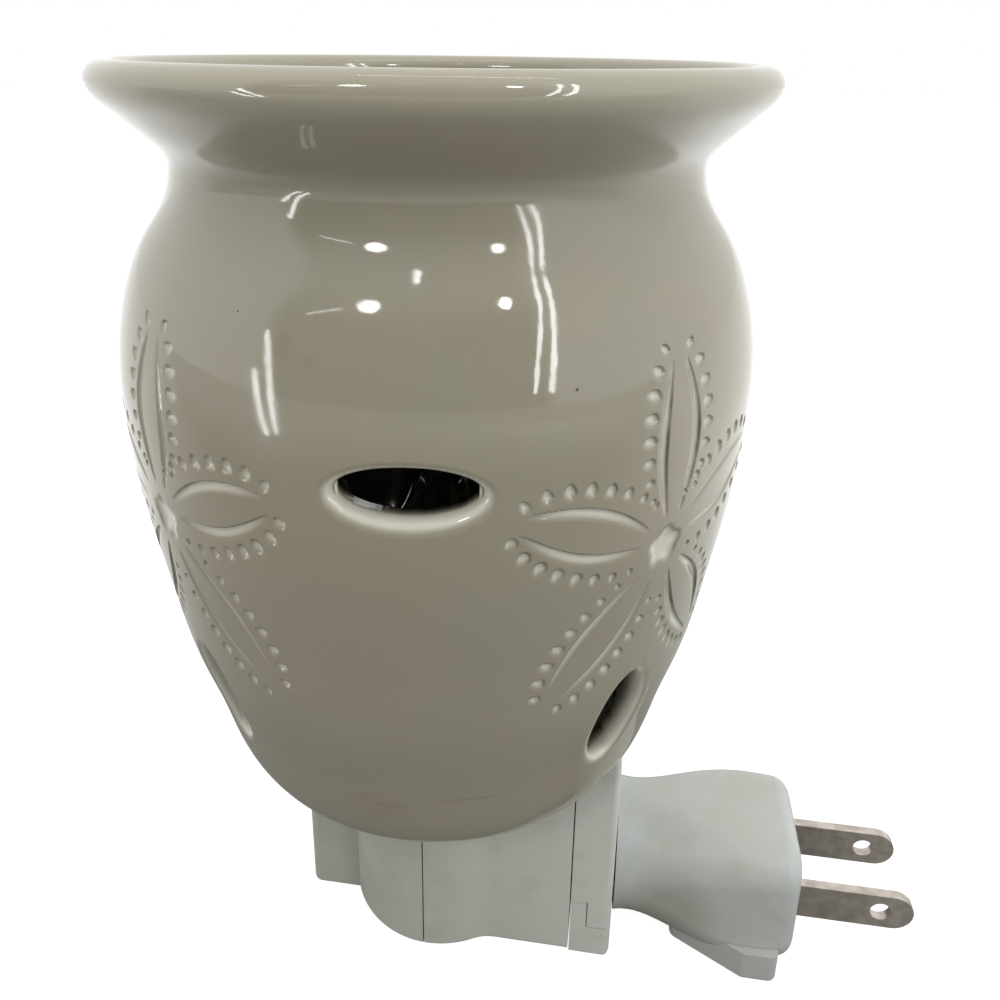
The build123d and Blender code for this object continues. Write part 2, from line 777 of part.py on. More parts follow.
with BuildPart() as bulb_glass:
    for shrink, mode in ((0, Mode.ADD), (bulb_glass_wall, Mode.SUBTRACT)):
        points = [(r * bulb_radius - shrink, glass_low + h * bulb_length) for r, h in bulb_profile_shares]
        with BuildSketch(Plane.XZ):
            with BuildLine():
                Line((0, glass_low), (bulb_neck_radius - shrink, glass_low))
                Spline(
                    (bulb_neck_radius - shrink, glass_low),
                    *points,
                    (0, glass_low + bulb_length - shrink),
                    tangents=((0, 1), (-1, 0)),
                )
                Line((0, glass_low + bulb_length - shrink), (0, glass_low))
            make_face()
        revolve(axis=Axis.Z, mode=mode)
finish(bulb_glass, "bulb_glass")

stem_top = glass_low + stem_height
lead_low = stem_top + support_radius / 2 + small_gap
filament_level = glass_low + filament_height
with BuildPart() as bulb_stem:
    with BuildSketch(Plane.XZ):
        with BuildLine():
            Polyline(
                (0, glass_low),
                (bulb_neck_radius - bulb_glass_wall - small_gap, glass_low),
                (stem_radius, glass_low + stem_height / 3),
                (stem_radius, stem_top),
                (0, stem_top),
                (0, glass_low),
            )
        make_face()
    revolve(axis=Axis.Z)
finish(bulb_stem, "bulb_stem")

with BuildPart() as bulb_support_wires:
    for side in (-1, 1):
        with BuildLine() as lead:
            Line((side * stem_radius / 2, 0, lead_low), (side * filament_half_width, 0, filament_level))
        with BuildSketch(Plane(origin=lead.line @ 0, z_dir=lead.line % 0)):
            Circle(support_radius)
        sweep(path=lead.line)
finish(bulb_support_wires, "bulb_support_wires")

with BuildPart() as bulb_filament:
    filament_low = filament_level + support_radius + small_gap
    with BuildLine() as coil:
        ThreePointArc(
            (-filament_half_width, 0, filament_low + filament_radius),
            (0, 0, filament_low + filament_half_width / 2),
            (filament_half_width, 0, filament_low + filament_radius),
        )
    with BuildSketch(Plane(origin=coil.line @ 0, z_dir=coil.line % 0)):
        Circle(filament_radius)
    sweep(path=coil.line)
finish(bulb_filament, "bulb_filament")

# Rocker switch set into the lobe's front wall, with its two terminals
switch_front = switch_setback - lobe_length
switch_back = switch_front + switch_depth
pivot_along = switch_front + rocker_pivot_depth
mouth_half_height = rocker_length / 2 + rocker_sweep
mouth_half_width = switch_width / 2 - switch_wall
mouth_back = pivot_along + rocker_back_depth + rocker_back_length / 2
switch_plane = Plane(origin=(switch_front, 0, switch_centre_height), x_dir=(0, 1, 0), z_dir=(1, 0, 0))
with BuildPart() as switch_body:
    with BuildSketch(switch_plane):
        Rectangle(switch_width, switch_height)
    extrude(amount=switch_depth)
    with BuildSketch(switch_plane.offset(-overrun)):
        Rectangle(mouth_half_width * 2, mouth_half_height * 2)
    extrude(amount=mouth_back - switch_front + overrun, mode=Mode.SUBTRACT)
    pivot_plane = Plane(
        origin=(pivot_along, switch_width / 2 + overrun, switch_centre_height),
        x_dir=(1, 0, 0),
        z_dir=(0, -1, 0),
    )
    with BuildSketch(pivot_plane):
        Circle(rocker_pin_radius + running_gap)
    extrude(amount=switch_width + overrun * 2, mode=Mode.SUBTRACT)
finish(switch_body, "switch_body")

rocker_half_width = mouth_half_width - rocker_gap
tilted = Plane(
    origin=(pivot_along, 0, switch_centre_height),
    x_dir=(cos(radians(rocker_tilt)), 0, sin(radians(rocker_tilt))),
    z_dir=(0, -1, 0),
)
with BuildPart() as switch_rocker:
    with BuildSketch(tilted):
        with BuildLine():
            Polyline(
                (-rocker_end_depth, -rocker_length / 2),
                (-rocker_dip_depth, 0),
                (-rocker_end_depth, rocker_length / 2),
                (-rocker_heel_depth, rocker_length / 2),
                (rocker_back_depth, rocker_back_length / 2),
                (rocker_back_depth, -rocker_back_length / 2),
                (-rocker_heel_depth, -rocker_length / 2),
                (-rocker_end_depth, -rocker_length / 2),
            )
        make_face()
    extrude(amount=rocker_half_width, both=True)
    with BuildSketch(tilted):
        Circle(rocker_pin_radius)
    extrude(amount=rocker_half_width + rocker_pin_reach, both=True)
finish(switch_rocker, "switch_rocker")

with BuildPart() as switch_terminals:
    for drop in (terminal_low, terminal_high):
        with BuildSketch(Plane(origin=(switch_back, 0, switch_centre_height - drop),
                               x_dir=(0, 1, 0), z_dir=(1, 0, 0))):
            Rectangle(terminal_width, terminal_thickness)
        extrude(amount=terminal_length)
finish(switch_terminals, "switch_terminals")

# Wires inside the base, each from contact to contact along straight runs and arcs
wire_start = carrier_back - rivet_proud - small_gap
wire_lead = wire_start - wire_bend * 2
terminal_end = switch_back + terminal_length + small_gap
terminal_lead = terminal_end + wire_bend
shell_tab = socket_radius - contact_tab_thickness - wire_radius - small_gap
high_level = switch_centre_height - terminal_high
low_level = switch_centre_height - terminal_low
wire_routes = {
    "wire_supply": (
        (wire_start, ring_mean, rivet_height),
        (wire_lead, ring_mean, rivet_height),
        (terminal_lead + wire_bend, ring_mean, low_level),
        (terminal_lead, 0, low_level),
        (terminal_end, 0, low_level),
    ),
    "wire_switched": (
        (terminal_end, 0, high_level),
        (terminal_lead + wire_bend, 0, high_level),
        (shell_tab, 0, high_level + wire_radius * 2),
        (shell_tab, 0, socket_floor - holder_web - wire_radius),
    ),
    "wire_neutral": (
        (wire_start, 0, rivet_height),
        (wire_lead, 0, rivet_height),
        (wire_bend, -wire_lead / 2, rivet_height),
        (wire_bend, -wire_lead / 2, high_level),
        (0, 0, high_level + wire_bend * 2),
        (0, 0, contact_tab_low - small_gap),
    ),
}
for label, route in wire_routes.items():
    with BuildPart() as wire:
        with BuildLine() as path:
            FilletPolyline(*route, radius=wire_turn_radius)
        with BuildSketch(Plane(origin=path.line @ 0, z_dir=path.line % 0)):
            Circle(wire_radius)
        sweep(path=path.line)
    finish(wire, label)
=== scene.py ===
# %% [markdown]
# # A plug-in wax melt warmer, dressed in Blender
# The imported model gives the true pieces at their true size: a glazed vase with a wax dish
# in its mouth, a small lamp inside, a plastic base and a plug that turns in a bracket.
# This lesson gives each piece its surface. The plain vase is exchanged for one with its
# carved flowers and soft vent lips, and the other pieces keep their shape and get a finish.

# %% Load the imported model
import json
from math import asin, cos, hypot, pi, radians, sin

import bmesh
import bpy
import numpy as np
from mathutils import Matrix, Vector, kdtree
from mathutils.geometry import delaunay_2d_cdt


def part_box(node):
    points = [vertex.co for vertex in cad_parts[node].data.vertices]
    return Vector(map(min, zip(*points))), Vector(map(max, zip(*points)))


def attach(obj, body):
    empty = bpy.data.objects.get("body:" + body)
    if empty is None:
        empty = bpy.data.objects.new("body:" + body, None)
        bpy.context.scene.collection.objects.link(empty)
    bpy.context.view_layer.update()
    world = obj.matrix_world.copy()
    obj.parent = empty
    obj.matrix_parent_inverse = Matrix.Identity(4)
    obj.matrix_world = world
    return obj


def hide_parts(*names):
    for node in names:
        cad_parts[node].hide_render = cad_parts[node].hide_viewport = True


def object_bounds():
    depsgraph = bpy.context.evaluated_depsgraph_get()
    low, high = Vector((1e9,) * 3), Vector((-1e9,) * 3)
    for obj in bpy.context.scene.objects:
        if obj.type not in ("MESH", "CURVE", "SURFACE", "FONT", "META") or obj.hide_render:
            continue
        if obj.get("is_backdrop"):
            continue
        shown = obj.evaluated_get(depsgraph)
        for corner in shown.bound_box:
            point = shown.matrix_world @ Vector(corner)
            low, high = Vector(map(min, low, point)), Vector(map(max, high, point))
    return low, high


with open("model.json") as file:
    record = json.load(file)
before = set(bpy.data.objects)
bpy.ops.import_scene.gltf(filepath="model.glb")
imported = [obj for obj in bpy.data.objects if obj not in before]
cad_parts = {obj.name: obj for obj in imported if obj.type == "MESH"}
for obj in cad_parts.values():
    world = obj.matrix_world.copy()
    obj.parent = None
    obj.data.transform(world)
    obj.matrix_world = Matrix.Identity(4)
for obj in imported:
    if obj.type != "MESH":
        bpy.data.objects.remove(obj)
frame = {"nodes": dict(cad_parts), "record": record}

MM = 0.001
cad_low, cad_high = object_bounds()

# %% [markdown]
# ## The camera
# A likeness starts at the camera. It could be aimed by eye, but then every curve of the
# vase would be judged from the wrong place. Here its place comes from a fit to the
# photograph: the vase's outline, the rim's ellipse and the blades of the plug. The view
# was not level with the middle of the picture, so the lens has a small shift.

# %% Set the camera
CAMERA_PLACE = Vector((25.783, -126.796, 142.398)) * MM
CAMERA_AIM = Vector((-0.13912, 0.93141, -0.33635))
CAMERA_ROLL = radians(-0.70)
PICTURE_SIDE = 1000
FOCAL_PIXELS = 927.0
CENTRE_PIXEL = (487.51, 373.56)

level = CAMERA_AIM.cross(Vector((0, 0, 1))).normalized()
plumb = CAMERA_AIM.cross(level).normalized()
view_right = (level * cos(CAMERA_ROLL) + plumb * sin(CAMERA_ROLL)).normalized()
view_down = (plumb * cos(CAMERA_ROLL) - level * sin(CAMERA_ROLL)).normalized()

camera = bpy.data.cameras.new("photo_view")
camera.sensor_width = 36.0
camera.lens = camera.sensor_width * FOCAL_PIXELS / PICTURE_SIDE
camera.shift_x = 0.5 - CENTRE_PIXEL[0] / PICTURE_SIDE
camera.shift_y = CENTRE_PIXEL[1] / PICTURE_SIDE - 0.5
camera.clip_start = 0.01
camera_object = bpy.data.objects.new("photo_view", camera)
turn = Matrix((view_right, -view_down, -CAMERA_AIM)).transposed()
camera_object.matrix_world = Matrix.Translation(CAMERA_PLACE) @ turn.to_4x4()
bpy.context.scene.collection.objects.link(camera_object)
bpy.context.scene.camera = camera_object
print("lens", round(camera.lens, 2), "mm, shift", round(camera.shift_x, 4), round(camera.shift_y, 4))


# %% [markdown]
# ## The vase's profile
# The potter's form is one line turned about the upright axis. The same line is drawn
# here as in the construction: shares of the body's radius and height, joined by a smooth
# curve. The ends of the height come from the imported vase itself.

# %% Draw the profile as a smooth curve
def smooth_curve(points, steps, start=None, end=None):
    """Points along a curve with even bending through all points; start and end set its direction."""
    points = np.array(points, float)
    gaps = np.hypot(*np.diff(points, axis=0).T)
    count = len(points)
    rows, values = np.zeros((count, count)), np.zeros((count, 2))
    rows[0, :2], values[0] = (2, 1), 3 * (points[1] - points[0]) / gaps[0]
    rows[-1, -2:], values[-1] = (1, 2), 3 * (points[-1] - points[-2]) / gaps[-1]
    if start is not None:
        rows[0, :2], values[0] = (1, 0), start
    if end is not None:
        rows[-1, -2:], values[-1] = (0, 1), end
    for i in range(1, count - 1):
        before, after = gaps[i - 1], gaps[i]
        rows[i, i - 1:i + 2] = after, 2 * (before + after), before
        values[i] = 3 * after * (points[i] - points[i - 1]) / before
        values[i] += 3 * before * (points[i + 1] - points[i]) / after
    slopes = np.linalg.solve(rows, values)
    curve = []
    for i in range(count - 1):
        t = np.linspace(0, 1, steps, endpoint=False)[:, None]
        curve.append(
            (2 * t**3 - 3 * t**2 + 1) * points[i]
            + (t**3 - 2 * t**2 + t) * gaps[i] * slopes[i]
            + (3 * t**2 - 2 * t**3) * points[i + 1]
            + (t**3 - t**2) * gaps[i] * slopes[i + 1]
        )
    return np.concatenate([*curve, points[-1:]])


vase_low, vase_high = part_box("ceramic_body")
foot_z, crest_z = vase_low.z / MM, vase_high.z / MM
body_height = crest_z - foot_z
body_radius = 44.1
foot_radius = 24.5
rim_radius = 44.0
rim_bead = 2.4
lower_shares = (
    (0.687, 0.036), (0.761, 0.088), (0.811, 0.161), (0.878, 0.253),
    (0.927, 0.357), (0.971, 0.461), (0.996, 0.565),
)
widest_share = (1.0, 0.620)
upper_shares = ((0.961, 0.731), (0.900, 0.792), (0.830, 0.839))
neck_share = (0.807, 0.881)
throat_share = (0.866, 0.917)
under_lip_share = (0.949, 0.948)
CURVE_STEPS = 40
UP = (0, 1)


def place(share):
    return (share[0] * body_radius, foot_z + share[1] * body_height)


rim_point = (rim_radius, crest_z - rim_bead)
belly = smooth_curve([(foot_radius, foot_z), *map(place, lower_shares), place(widest_share)], CURVE_STEPS)
shoulder = smooth_curve(
    [place(widest_share), *map(place, upper_shares), place(neck_share)], CURVE_STEPS, UP, UP
)
flare = smooth_curve(
    [place(neck_share), place(throat_share), place(under_lip_share), rim_point], CURVE_STEPS, UP, UP
)
outer_line = np.concatenate([belly, shoulder[1:], flare[1:]])
outer_slope = np.gradient(outer_line[:, 0]) / np.gradient(outer_line[:, 1])


def outer_radius(z):
    return np.interp(z, outer_line[:, 1], outer_line[:, 0])


def outer_tilt(z):
    """How far the outer skin leans: the change of radius with height."""
    return np.interp(z, outer_line[:, 1], outer_slope)


cad_points = np.array([v.co for v in frame["nodes"]["ceramic_body"].data.vertices]) / MM
cad_radius = np.hypot(cad_points[:, 0], cad_points[:, 1])
on_skin = (cad_points[:, 2] > foot_z + 8) & (cad_points[:, 2] < rim_point[1])
gap = cad_radius[on_skin] - outer_radius(cad_points[on_skin, 2])
print("the packed vase's skin departs from this line by", round(float(gap.max()), 3), "mm at most")

# %% [markdown]
# ## The carved flowers
# On the real vase the flowers are pressed or cut into the clay before glazing: five petals,
# each outlined by two shallow curved grooves, a row of teardrop dots round each petal, and
# a small scoop in the centre. A bump map could fake them, but their edges catch the light
# and show on the outline, so they are cut into the mesh. The skin is unrolled flat, each
# groove gets its own rows of points, and one triangulation joins them all.

# %% Sizes of the carving, in millimetres
flower_places = ((-41.4, 86.8), (-129.0, 87.9), (138.6, 86.8), (51.0, 87.9))
# each petal: direction in degrees, groove's end, sideways shift, reach of its dots, their half width
petals = (
    (90, 23.4, 0.4, 25.4, 5.1), (162, 21.3, 0.9, 22.7, 5.6), (234, 23.2, -0.2, 25.2, 5.1),
    (306, 23.5, -0.1, 25.8, 5.3), (18, 20.6, -1.2, 22.2, 5.7),
)
groove_start = 4.1
groove_bulge = 2.85
groove_end_aside = 1.1
groove_half_width = 0.66
groove_tip_width = 0.16
groove_depth = 0.46
steep_side = (0.5, 0.86)
groove_across_shares = (-1.7, -1.1, -0.65, -0.15, 0.35, 0.72, 0.86, 0.96, 1.3)
groove_depth_shares = (0.0, 0.05, 0.42, 0.82, 1.0, 0.97, 0.6, 0.04, 0.0)
dot_ring_length = 11.0
dot_first = 2.5
dot_pitch = 2.6
dot_long, dot_short = 1.0, 0.74
dot_size_shares = (0.82, 0.95, 1.0, 1.0, 0.95, 0.84, 0.68, 0.5)
dot_depth = 0.4
dot_lean_share = 0.5
dot_soft_share = 0.6
dot_ring_shares = ((1.4, 0.0), (1.05, 0.06), (0.78, 0.78), (0.4, 1.0))
dot_sides = 12
dot_taper_share = 0.25
dot_lean_start_share = 1.05
dot_walk_step = 0.002
scoop_radius = 2.5
scoop_lobe_share = 0.12
scoop_depth = 0.5
scoop_sides = 30
scoop_lobes = 5
scoop_ring_shares = ((1.25, 0.0), (1.03, 0.08), (0.82, 0.65), (0.5, 0.95), (0.25, 1.0))
along_step = 0.6
shade_line_reach = 0.25


# %% Lay out the points of grooves, dots and scoops
def unroll(flower, across, up):
    """A place on a flower, in millimetres from its centre, as a place on the unrolled skin."""
    angle, height = flower
    z = height + up
    radius = (outer_radius(z) + outer_radius(height)) / 2
    return (radians(angle) + across / radius) * body_radius, z


def petal_to_flower(direction, along, aside):
    c, s = cos(radians(direction)), sin(radians(direction))
    return along * c + aside * s, along * s - aside * c


def groove_points(flower, direction, length, shift, side):
    """Rows of (x, z, depth) down one groove, with its steep wall up and to the right."""
    rows = []
    aside_up = sin(radians(direction)) * steep_side[0] - cos(radians(direction)) * steep_side[1]
    facing = 1 if aside_up > 0 else -1
    count = int((length - groove_start) / along_step)
    for step in range(count + 1):
        share = step / count
        along = groove_start + share * (length - groove_start)
        bow = groove_end_aside + (groove_bulge - groove_end_aside) * sin(pi * share)
        middle = shift + side * bow
        swell = sin(pi * share) ** 0.5 if 0 < share < 1 else 0
        width = groove_tip_width + (groove_half_width - groove_tip_width) * swell
        row = []
        for across, depth in zip(groove_across_shares, groove_depth_shares):
            place_on = petal_to_flower(direction, along, middle + facing * across * width)
            row.append((*unroll(flower, *place_on), depth * groove_depth * swell**1.5))
        rows.append(row)
    return rows


def dot_points(flower, direction, reach, ring_width, shift, side, number):
    """Rings of (x, z, depth) round one teardrop dot."""
    walked, turned, step = 0.0, 0.0, dot_walk_step
    goal = dot_first + number * dot_pitch
    while walked < goal:
        turned += step
        walked += step * hypot(dot_ring_length * sin(turned), ring_width * cos(turned))
    along = reach - dot_ring_length + dot_ring_length * cos(turned)
    aside = shift + side * ring_width * sin(turned)
    lean = (cos(turned) / dot_ring_length, side * sin(turned) / ring_width)
    out = (lean[0] / hypot(*lean), lean[1] / hypot(*lean))
    size = dot_size_shares[number]
    middle = petal_to_flower(direction, along, aside)
    rings = []
    for share, depth in dot_ring_shares:
        ring = []
        for corner in range(dot_sides):
            angle = corner * 2 * pi / dot_sides
            taper = 1 - dot_taper_share * cos(angle)
            a = share * size * dot_long * cos(angle)
            b = share * size * dot_short * sin(angle) * taper
            forward, sideways = a * out[0] - b * out[1], a * out[1] + b * out[0]
            spot = petal_to_flower(direction, along + forward, aside + sideways)
            lean_in = max(0.0, dot_lean_start_share - share) * dot_lean_share * dot_short * size
            up_share = (spot[0] - middle[0]) * steep_side[0] + (spot[1] - middle[1]) * steep_side[1]
            up_share = min(1.0, max(-1.0, up_share / (share * size * dot_short)))
            slope = 1 - dot_soft_share * (1 - up_share) / 2 if share > 0.5 else 1
            spot = (spot[0] + lean_in * steep_side[0], spot[1] + lean_in * steep_side[1])
            ring.append((*unroll(flower, *spot), slope * depth * dot_depth))
        rings.append(ring)
    deepest = (middle[0] + lean_in * steep_side[0], middle[1] + lean_in * steep_side[1])
    rings.append([(*unroll(flower, *deepest), dot_depth)])
    return rings


def scoop_points(flower):
    rings = []
    for share, depth in scoop_ring_shares:
        ring = []
        for corner in range(scoop_sides):
            angle = corner * 2 * pi / scoop_sides
            lobe = scoop_lobe_share * cos(scoop_lobes * (angle - pi / 2))
            radius = share * scoop_radius * (1 + lobe)
            ring.append((*unroll(flower, radius * cos(angle), radius * sin(angle)), depth * scoop_depth))
        rings.append(ring)
    rings.append([(*unroll(flower, 0, 0), scoop_depth)])
    return rings


def upper_half(ring):
    """The points of a ring that lie on its upper right side, where painted shade darkens the edge."""
    middle = [sum(point[k] for point in ring) / len(ring) for k in (0, 1)]
    return [
        point for point in ring
        if (point[0] - middle[0]) * steep_side[0] + (point[1] - middle[1]) * steep_side[1] > shade_line_reach
    ]


# the groove's two rows on its steep wall, and the one at its deepest
SHADE_LINE_ROWS = (6, 7)
DEEPEST_ROW = 4
# painted shade: the points on the upper steep wall of each groove, dot and scoop are kept, so the glaze
# darkens them where the shadow falls
carving, shade_line_points = [], []
for flower in flower_places:
    rings = scoop_points(flower)
    carving += [point for ring in rings for point in ring]
    shade_line_points += upper_half(rings[1])
    for direction, length, shift, reach, ring_width in petals:
        for side in (-1, 1):
            rows = groove_points(flower, direction, length, shift, side)
            carving += [rows[0][DEEPEST_ROW], rows[-1][DEEPEST_ROW]]
            carving += [point for row in rows[1:-1] for point in row]
            shade_line_points += [row[k] for row in rows[1:-1] for k in SHADE_LINE_ROWS]
            for number in range(len(dot_size_shares)):
                rings = dot_points(flower, direction, reach, ring_width, shift, side, number)
                carving += [point for ring in rings for point in ring]
                shade_line_points += upper_half(rings[1])
print("carving points:", len(carving), "and points on dirty edges:", len(shade_line_points))

# %% [markdown]
# ## The vents
# Eight oval vents let light and warm air out: four lie flat under the shoulder, four stand
# upright near the foot. They are cut in leather-hard clay and smoothed with a wet finger,
# so their lips are round, and wider below an upper vent than above it. Each vent gets rings
# of points: down the round lip, then straight through the wall to the inner skin.
#
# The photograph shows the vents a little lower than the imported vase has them, so here they
# stand up to 1.6 mm lower, and the rim is 0.3 mm narrower.

# %% Sizes and rings of the vents
ceramic_wall = 3.6
# half sizes of the opening, its height, and how wide its lip is beside, above and below
upper_vent = dict(half_wide=7.8, half_high=3.0, height=foot_z + 0.603 * body_height, lip=(2.1, 1.3, 2.0))
lower_vent = dict(half_wide=3.7, half_high=7.8, height=foot_z + 0.228 * body_height, lip=(1.7, 1.5, 1.6))
upper_vent_turn, lower_vent_turn = -83.4, -41.0
lip_depth = 1.7
lip_steps = 6
vent_sides = 64
VENTS_ROUND = 4
vent_spacing = 360 / VENTS_ROUND
vents = [dict(upper_vent, turn=upper_vent_turn + vent_spacing * k) for k in range(VENTS_ROUND)]
vents += [dict(lower_vent, turn=lower_vent_turn + vent_spacing * k) for k in range(VENTS_ROUND)]


def vent_ring(vent, out_share, sunk, skin_gap):
    """One ring: (unrolled x, z, radius), grown by a share of the lip and with the skin sunk in."""
    beside, above, below = vent["lip"]
    ring = []
    for corner in range(vent_sides):
        angle = 2 * pi * corner / vent_sides
        aside = (vent["half_wide"] + out_share * beside) * cos(angle)
        upright = above if sin(angle) > 0 else below
        z = vent["height"] + (vent["half_high"] + out_share * upright) * sin(angle)
        radius = float(outer_radius(z)) - skin_gap - sunk
        ring.append(((radians(vent["turn"]) + asin(aside / radius)) * body_radius, z, radius))
    return ring


def lip_rings(vent):
    angles = [step / lip_steps * pi / 2 for step in range(lip_steps + 1)]
    return [vent_ring(vent, 1 - sin(angle), lip_depth * (1 - cos(angle)), 0) for angle in angles]


def in_vent(x, z, spread):
    """True where an unrolled place lies inside a vent's opening grown by spread."""
    for vent in vents:
        aside = x - radians(vent["turn"]) * body_radius
        whole = 2 * pi * body_radius
        aside = (aside + whole / 2) % whole - whole / 2
        across = body_radius / outer_radius(z) * (vent["half_wide"] + spread)
        if (aside / across) ** 2 + ((z - vent["height"]) / (vent["half_high"] + spread)) ** 2 < 1:
            return True
    return False


print("vents:", len(vents))

# %% [markdown]
# ## Joining the points
# The unrolled skin is a strip with a seam where nothing is carved. Coarse points fill the
# plain places and stay clear of the carving. A Delaunay triangulation joins the points, and
# the strip is then rolled up into the round.

# %% Triangulate a strip of the skin
SEAM_TURN = -8.5
COLUMNS = 224
band_low, band_high = 47.0, 116.0
row_step = 1.25
keep_clear = 0.75
vent_keep_clear = 0.3
lip_keep_clear = 0.4
JOIN_TOLERANCE = 1e-6


def wrap(x):
    """Brings an unrolled place into the strip that starts at the seam."""
    whole = 2 * pi * body_radius
    start = radians(SEAM_TURN) * body_radius
    return (x - start) % whole + start


def joined_strip(low, high, step, features, rings):
    """Triangles over a strip, from features (x, z, radius) and closed rings round holes."""
    start, whole = radians(SEAM_TURN) * body_radius, 2 * pi * body_radius
    flat = [(wrap(x), z, radius) for x, z, radius in features]
    ring_of = [None] * len(flat)
    edges = []
    for number, ring in enumerate(rings):
        first = len(flat)
        flat += [(wrap(x), z, radius) for x, z, radius in ring]
        ring_of += [number] * len(ring)
        edges += [(first + k, first + (k + 1) % len(ring)) for k in range(len(ring))]
    tree = kdtree.KDTree(max(len(flat), 1))
    for index, (x, z, radius) in enumerate(flat):
        tree.insert((x, z, 0), index)
    tree.balance()
    heights = np.linspace(low, high, int(round((high - low) / step)) + 1)
    for row, z in enumerate(heights):
        for column in range(COLUMNS + 1):
            x = start + whole * column / COLUMNS
            edge = row in (0, len(heights) - 1) or column in (0, COLUMNS)
            near = tree.find((x, z, 0))[2] if flat else None
            if edge or ((near is None or near > keep_clear) and not in_vent(x, z, vent_keep_clear)):
                flat.append((x, float(z), None))
                ring_of.append(None)
    joined = delaunay_2d_cdt([Vector(p[:2]) for p in flat], edges, [], 0, JOIN_TOLERANCE, True)
    corners, origins = joined[0], [origin[0] for origin in joined[3]]
    # a triangle whose corners all lie on one ring fills the hole inside it, and is left out
    faces = []
    for face in joined[2]:
        around = {ring_of[origins[k]] for k in face}
        if len(around) > 1 or None in around:
            faces.append(face)
    return corners, faces, [flat[origin] for origin in origins]


def groove_radius(z, depth):
    """Radius of a point sunk by depth, square to the skin."""
    lean = 1 / np.hypot(1, outer_tilt(z))
    return float(outer_radius(z) - depth * lean)


vase_corners, vase_faces = [], []


def add_corner(x, z, radius):
    angle = x / body_radius
    vase_corners.append((radius * cos(angle), radius * sin(angle), z))
    return len(vase_corners) - 1


def add_strip(corners, faces, table, skin_gap):
    first = len(vase_corners)
    for corner, (x, z, radius) in zip(corners, table):
        add_corner(x, z, float(outer_radius(z)) - skin_gap if radius is None else radius)
    for face in faces:
        vase_faces.append([first + k for k in face])


carved = [
    (x, z, groove_radius(z, depth)) for x, z, depth in carving
    if not in_vent(x, z, lip_depth + lip_keep_clear)
]
lips = [lip_rings(vent) for vent in vents]
for rings in lips:
    carved += [point for ring in rings[:-1] for point in ring]
outer_strip = joined_strip(band_low, band_high, row_step, carved, [rings[-1] for rings in lips])
add_strip(*outer_strip, 0)
print("outer strip:", len(outer_strip[0]), "points,", len(outer_strip[1]), "triangles")

# %% [markdown]
# ## The inside of the wall
# A vase like this is usually cast in a mould with an even wall, so its inner skin is taken
# to follow the outer one. It has no carving and is hardly seen, so its triangles are
# larger. The walls of the vents are strips of four-cornered faces between the two skins.

# %% Inner skin and the walls of the vents
inner_step = 3.0
inner_high = 108.0
inner_rings = [vent_ring(vent, 0, 0, ceramic_wall) for vent in vents]
inner_strip = joined_strip(band_low, inner_high, inner_step, [], inner_rings)
add_strip(*inner_strip, ceramic_wall)
for rings, inner in zip(lips, inner_rings):
    outer_ids = [add_corner(*point) for point in rings[-1]]
    inner_ids = [add_corner(*point) for point in inner]
    for k in range(vent_sides):
        n = (k + 1) % vent_sides
        vase_faces.append([outer_ids[k], outer_ids[n], inner_ids[n], inner_ids[k]])
print("faces so far:", len(vase_faces))

# %% [markdown]
# ## The rim, the dish and the foot
# The rest of the vase is plain turned work: rings of points about the axis, from the
# carved strip up over the round rim and down into the dish, and from its lower edge round
# the foot and into the lamp's space.

# %% Turn the plain stretches
neck_radius = place(neck_share)[0]
dish_neck_wall, dish_lip_wall = 4.4, 4.6
dish_depth, dish_floor, dish_corner = 22.0, 4.2, 7.0
dish_bottom = crest_z - dish_depth
cavity_top = dish_bottom - dish_floor
cavity_corner = 5.0
shoulder_share = (0.977, 0.705)
foot_hole_radius, foot_thickness = 17.0, 4.2
foot_bevel = 0.8
foot_hole_bevel = 0.5
foot_round_share = 0.25
floor_fillet = 1.0
inner_rows = 6
dish_ring_gap, dish_rings = 4.0, 5
ceiling_ring = 15.0
BEAD_STEPS = 10
above_gap, dish_gap, below_gap = 0.7, 1.0, 1.2


def arc(centre, radius, first, last, steps=BEAD_STEPS):
    angles = [radians(first + (last - first) * k / steps) for k in range(steps + 1)]
    return [(centre[0] + radius * cos(a), centre[1] + radius * sin(a)) for a in angles]


def thin_out(line, step):
    """Drops points of a dense line that are nearer than step to the last one kept."""
    kept = [line[0]]
    for point in line[1:-1]:
        if hypot(point[0] - kept[-1][0], point[1] - kept[-1][1]) >= step:
            kept.append(point)
    return [*kept, line[-1]]


def turned(line, closed=False):
    """Rings about the axis through the line's points; closed ends it in a point on the axis."""
    start, whole = radians(SEAM_TURN) * body_radius, 2 * pi * body_radius
    rings = []
    for radius, z in line:
        rings.append([add_corner(start + whole * k / COLUMNS, z, radius) for k in range(COLUMNS)])
    for low, high in zip(rings, rings[1:]):
        for k in range(COLUMNS):
            n = (k + 1) % COLUMNS
            vase_faces.append([low[k], low[n], high[n], high[k]])
    if closed:
        tip = add_corner(0, line[-1][1], 0)
        for k in range(COLUMNS):
            vase_faces.append([rings[-1][k], rings[-1][(k + 1) % COLUMNS], tip])


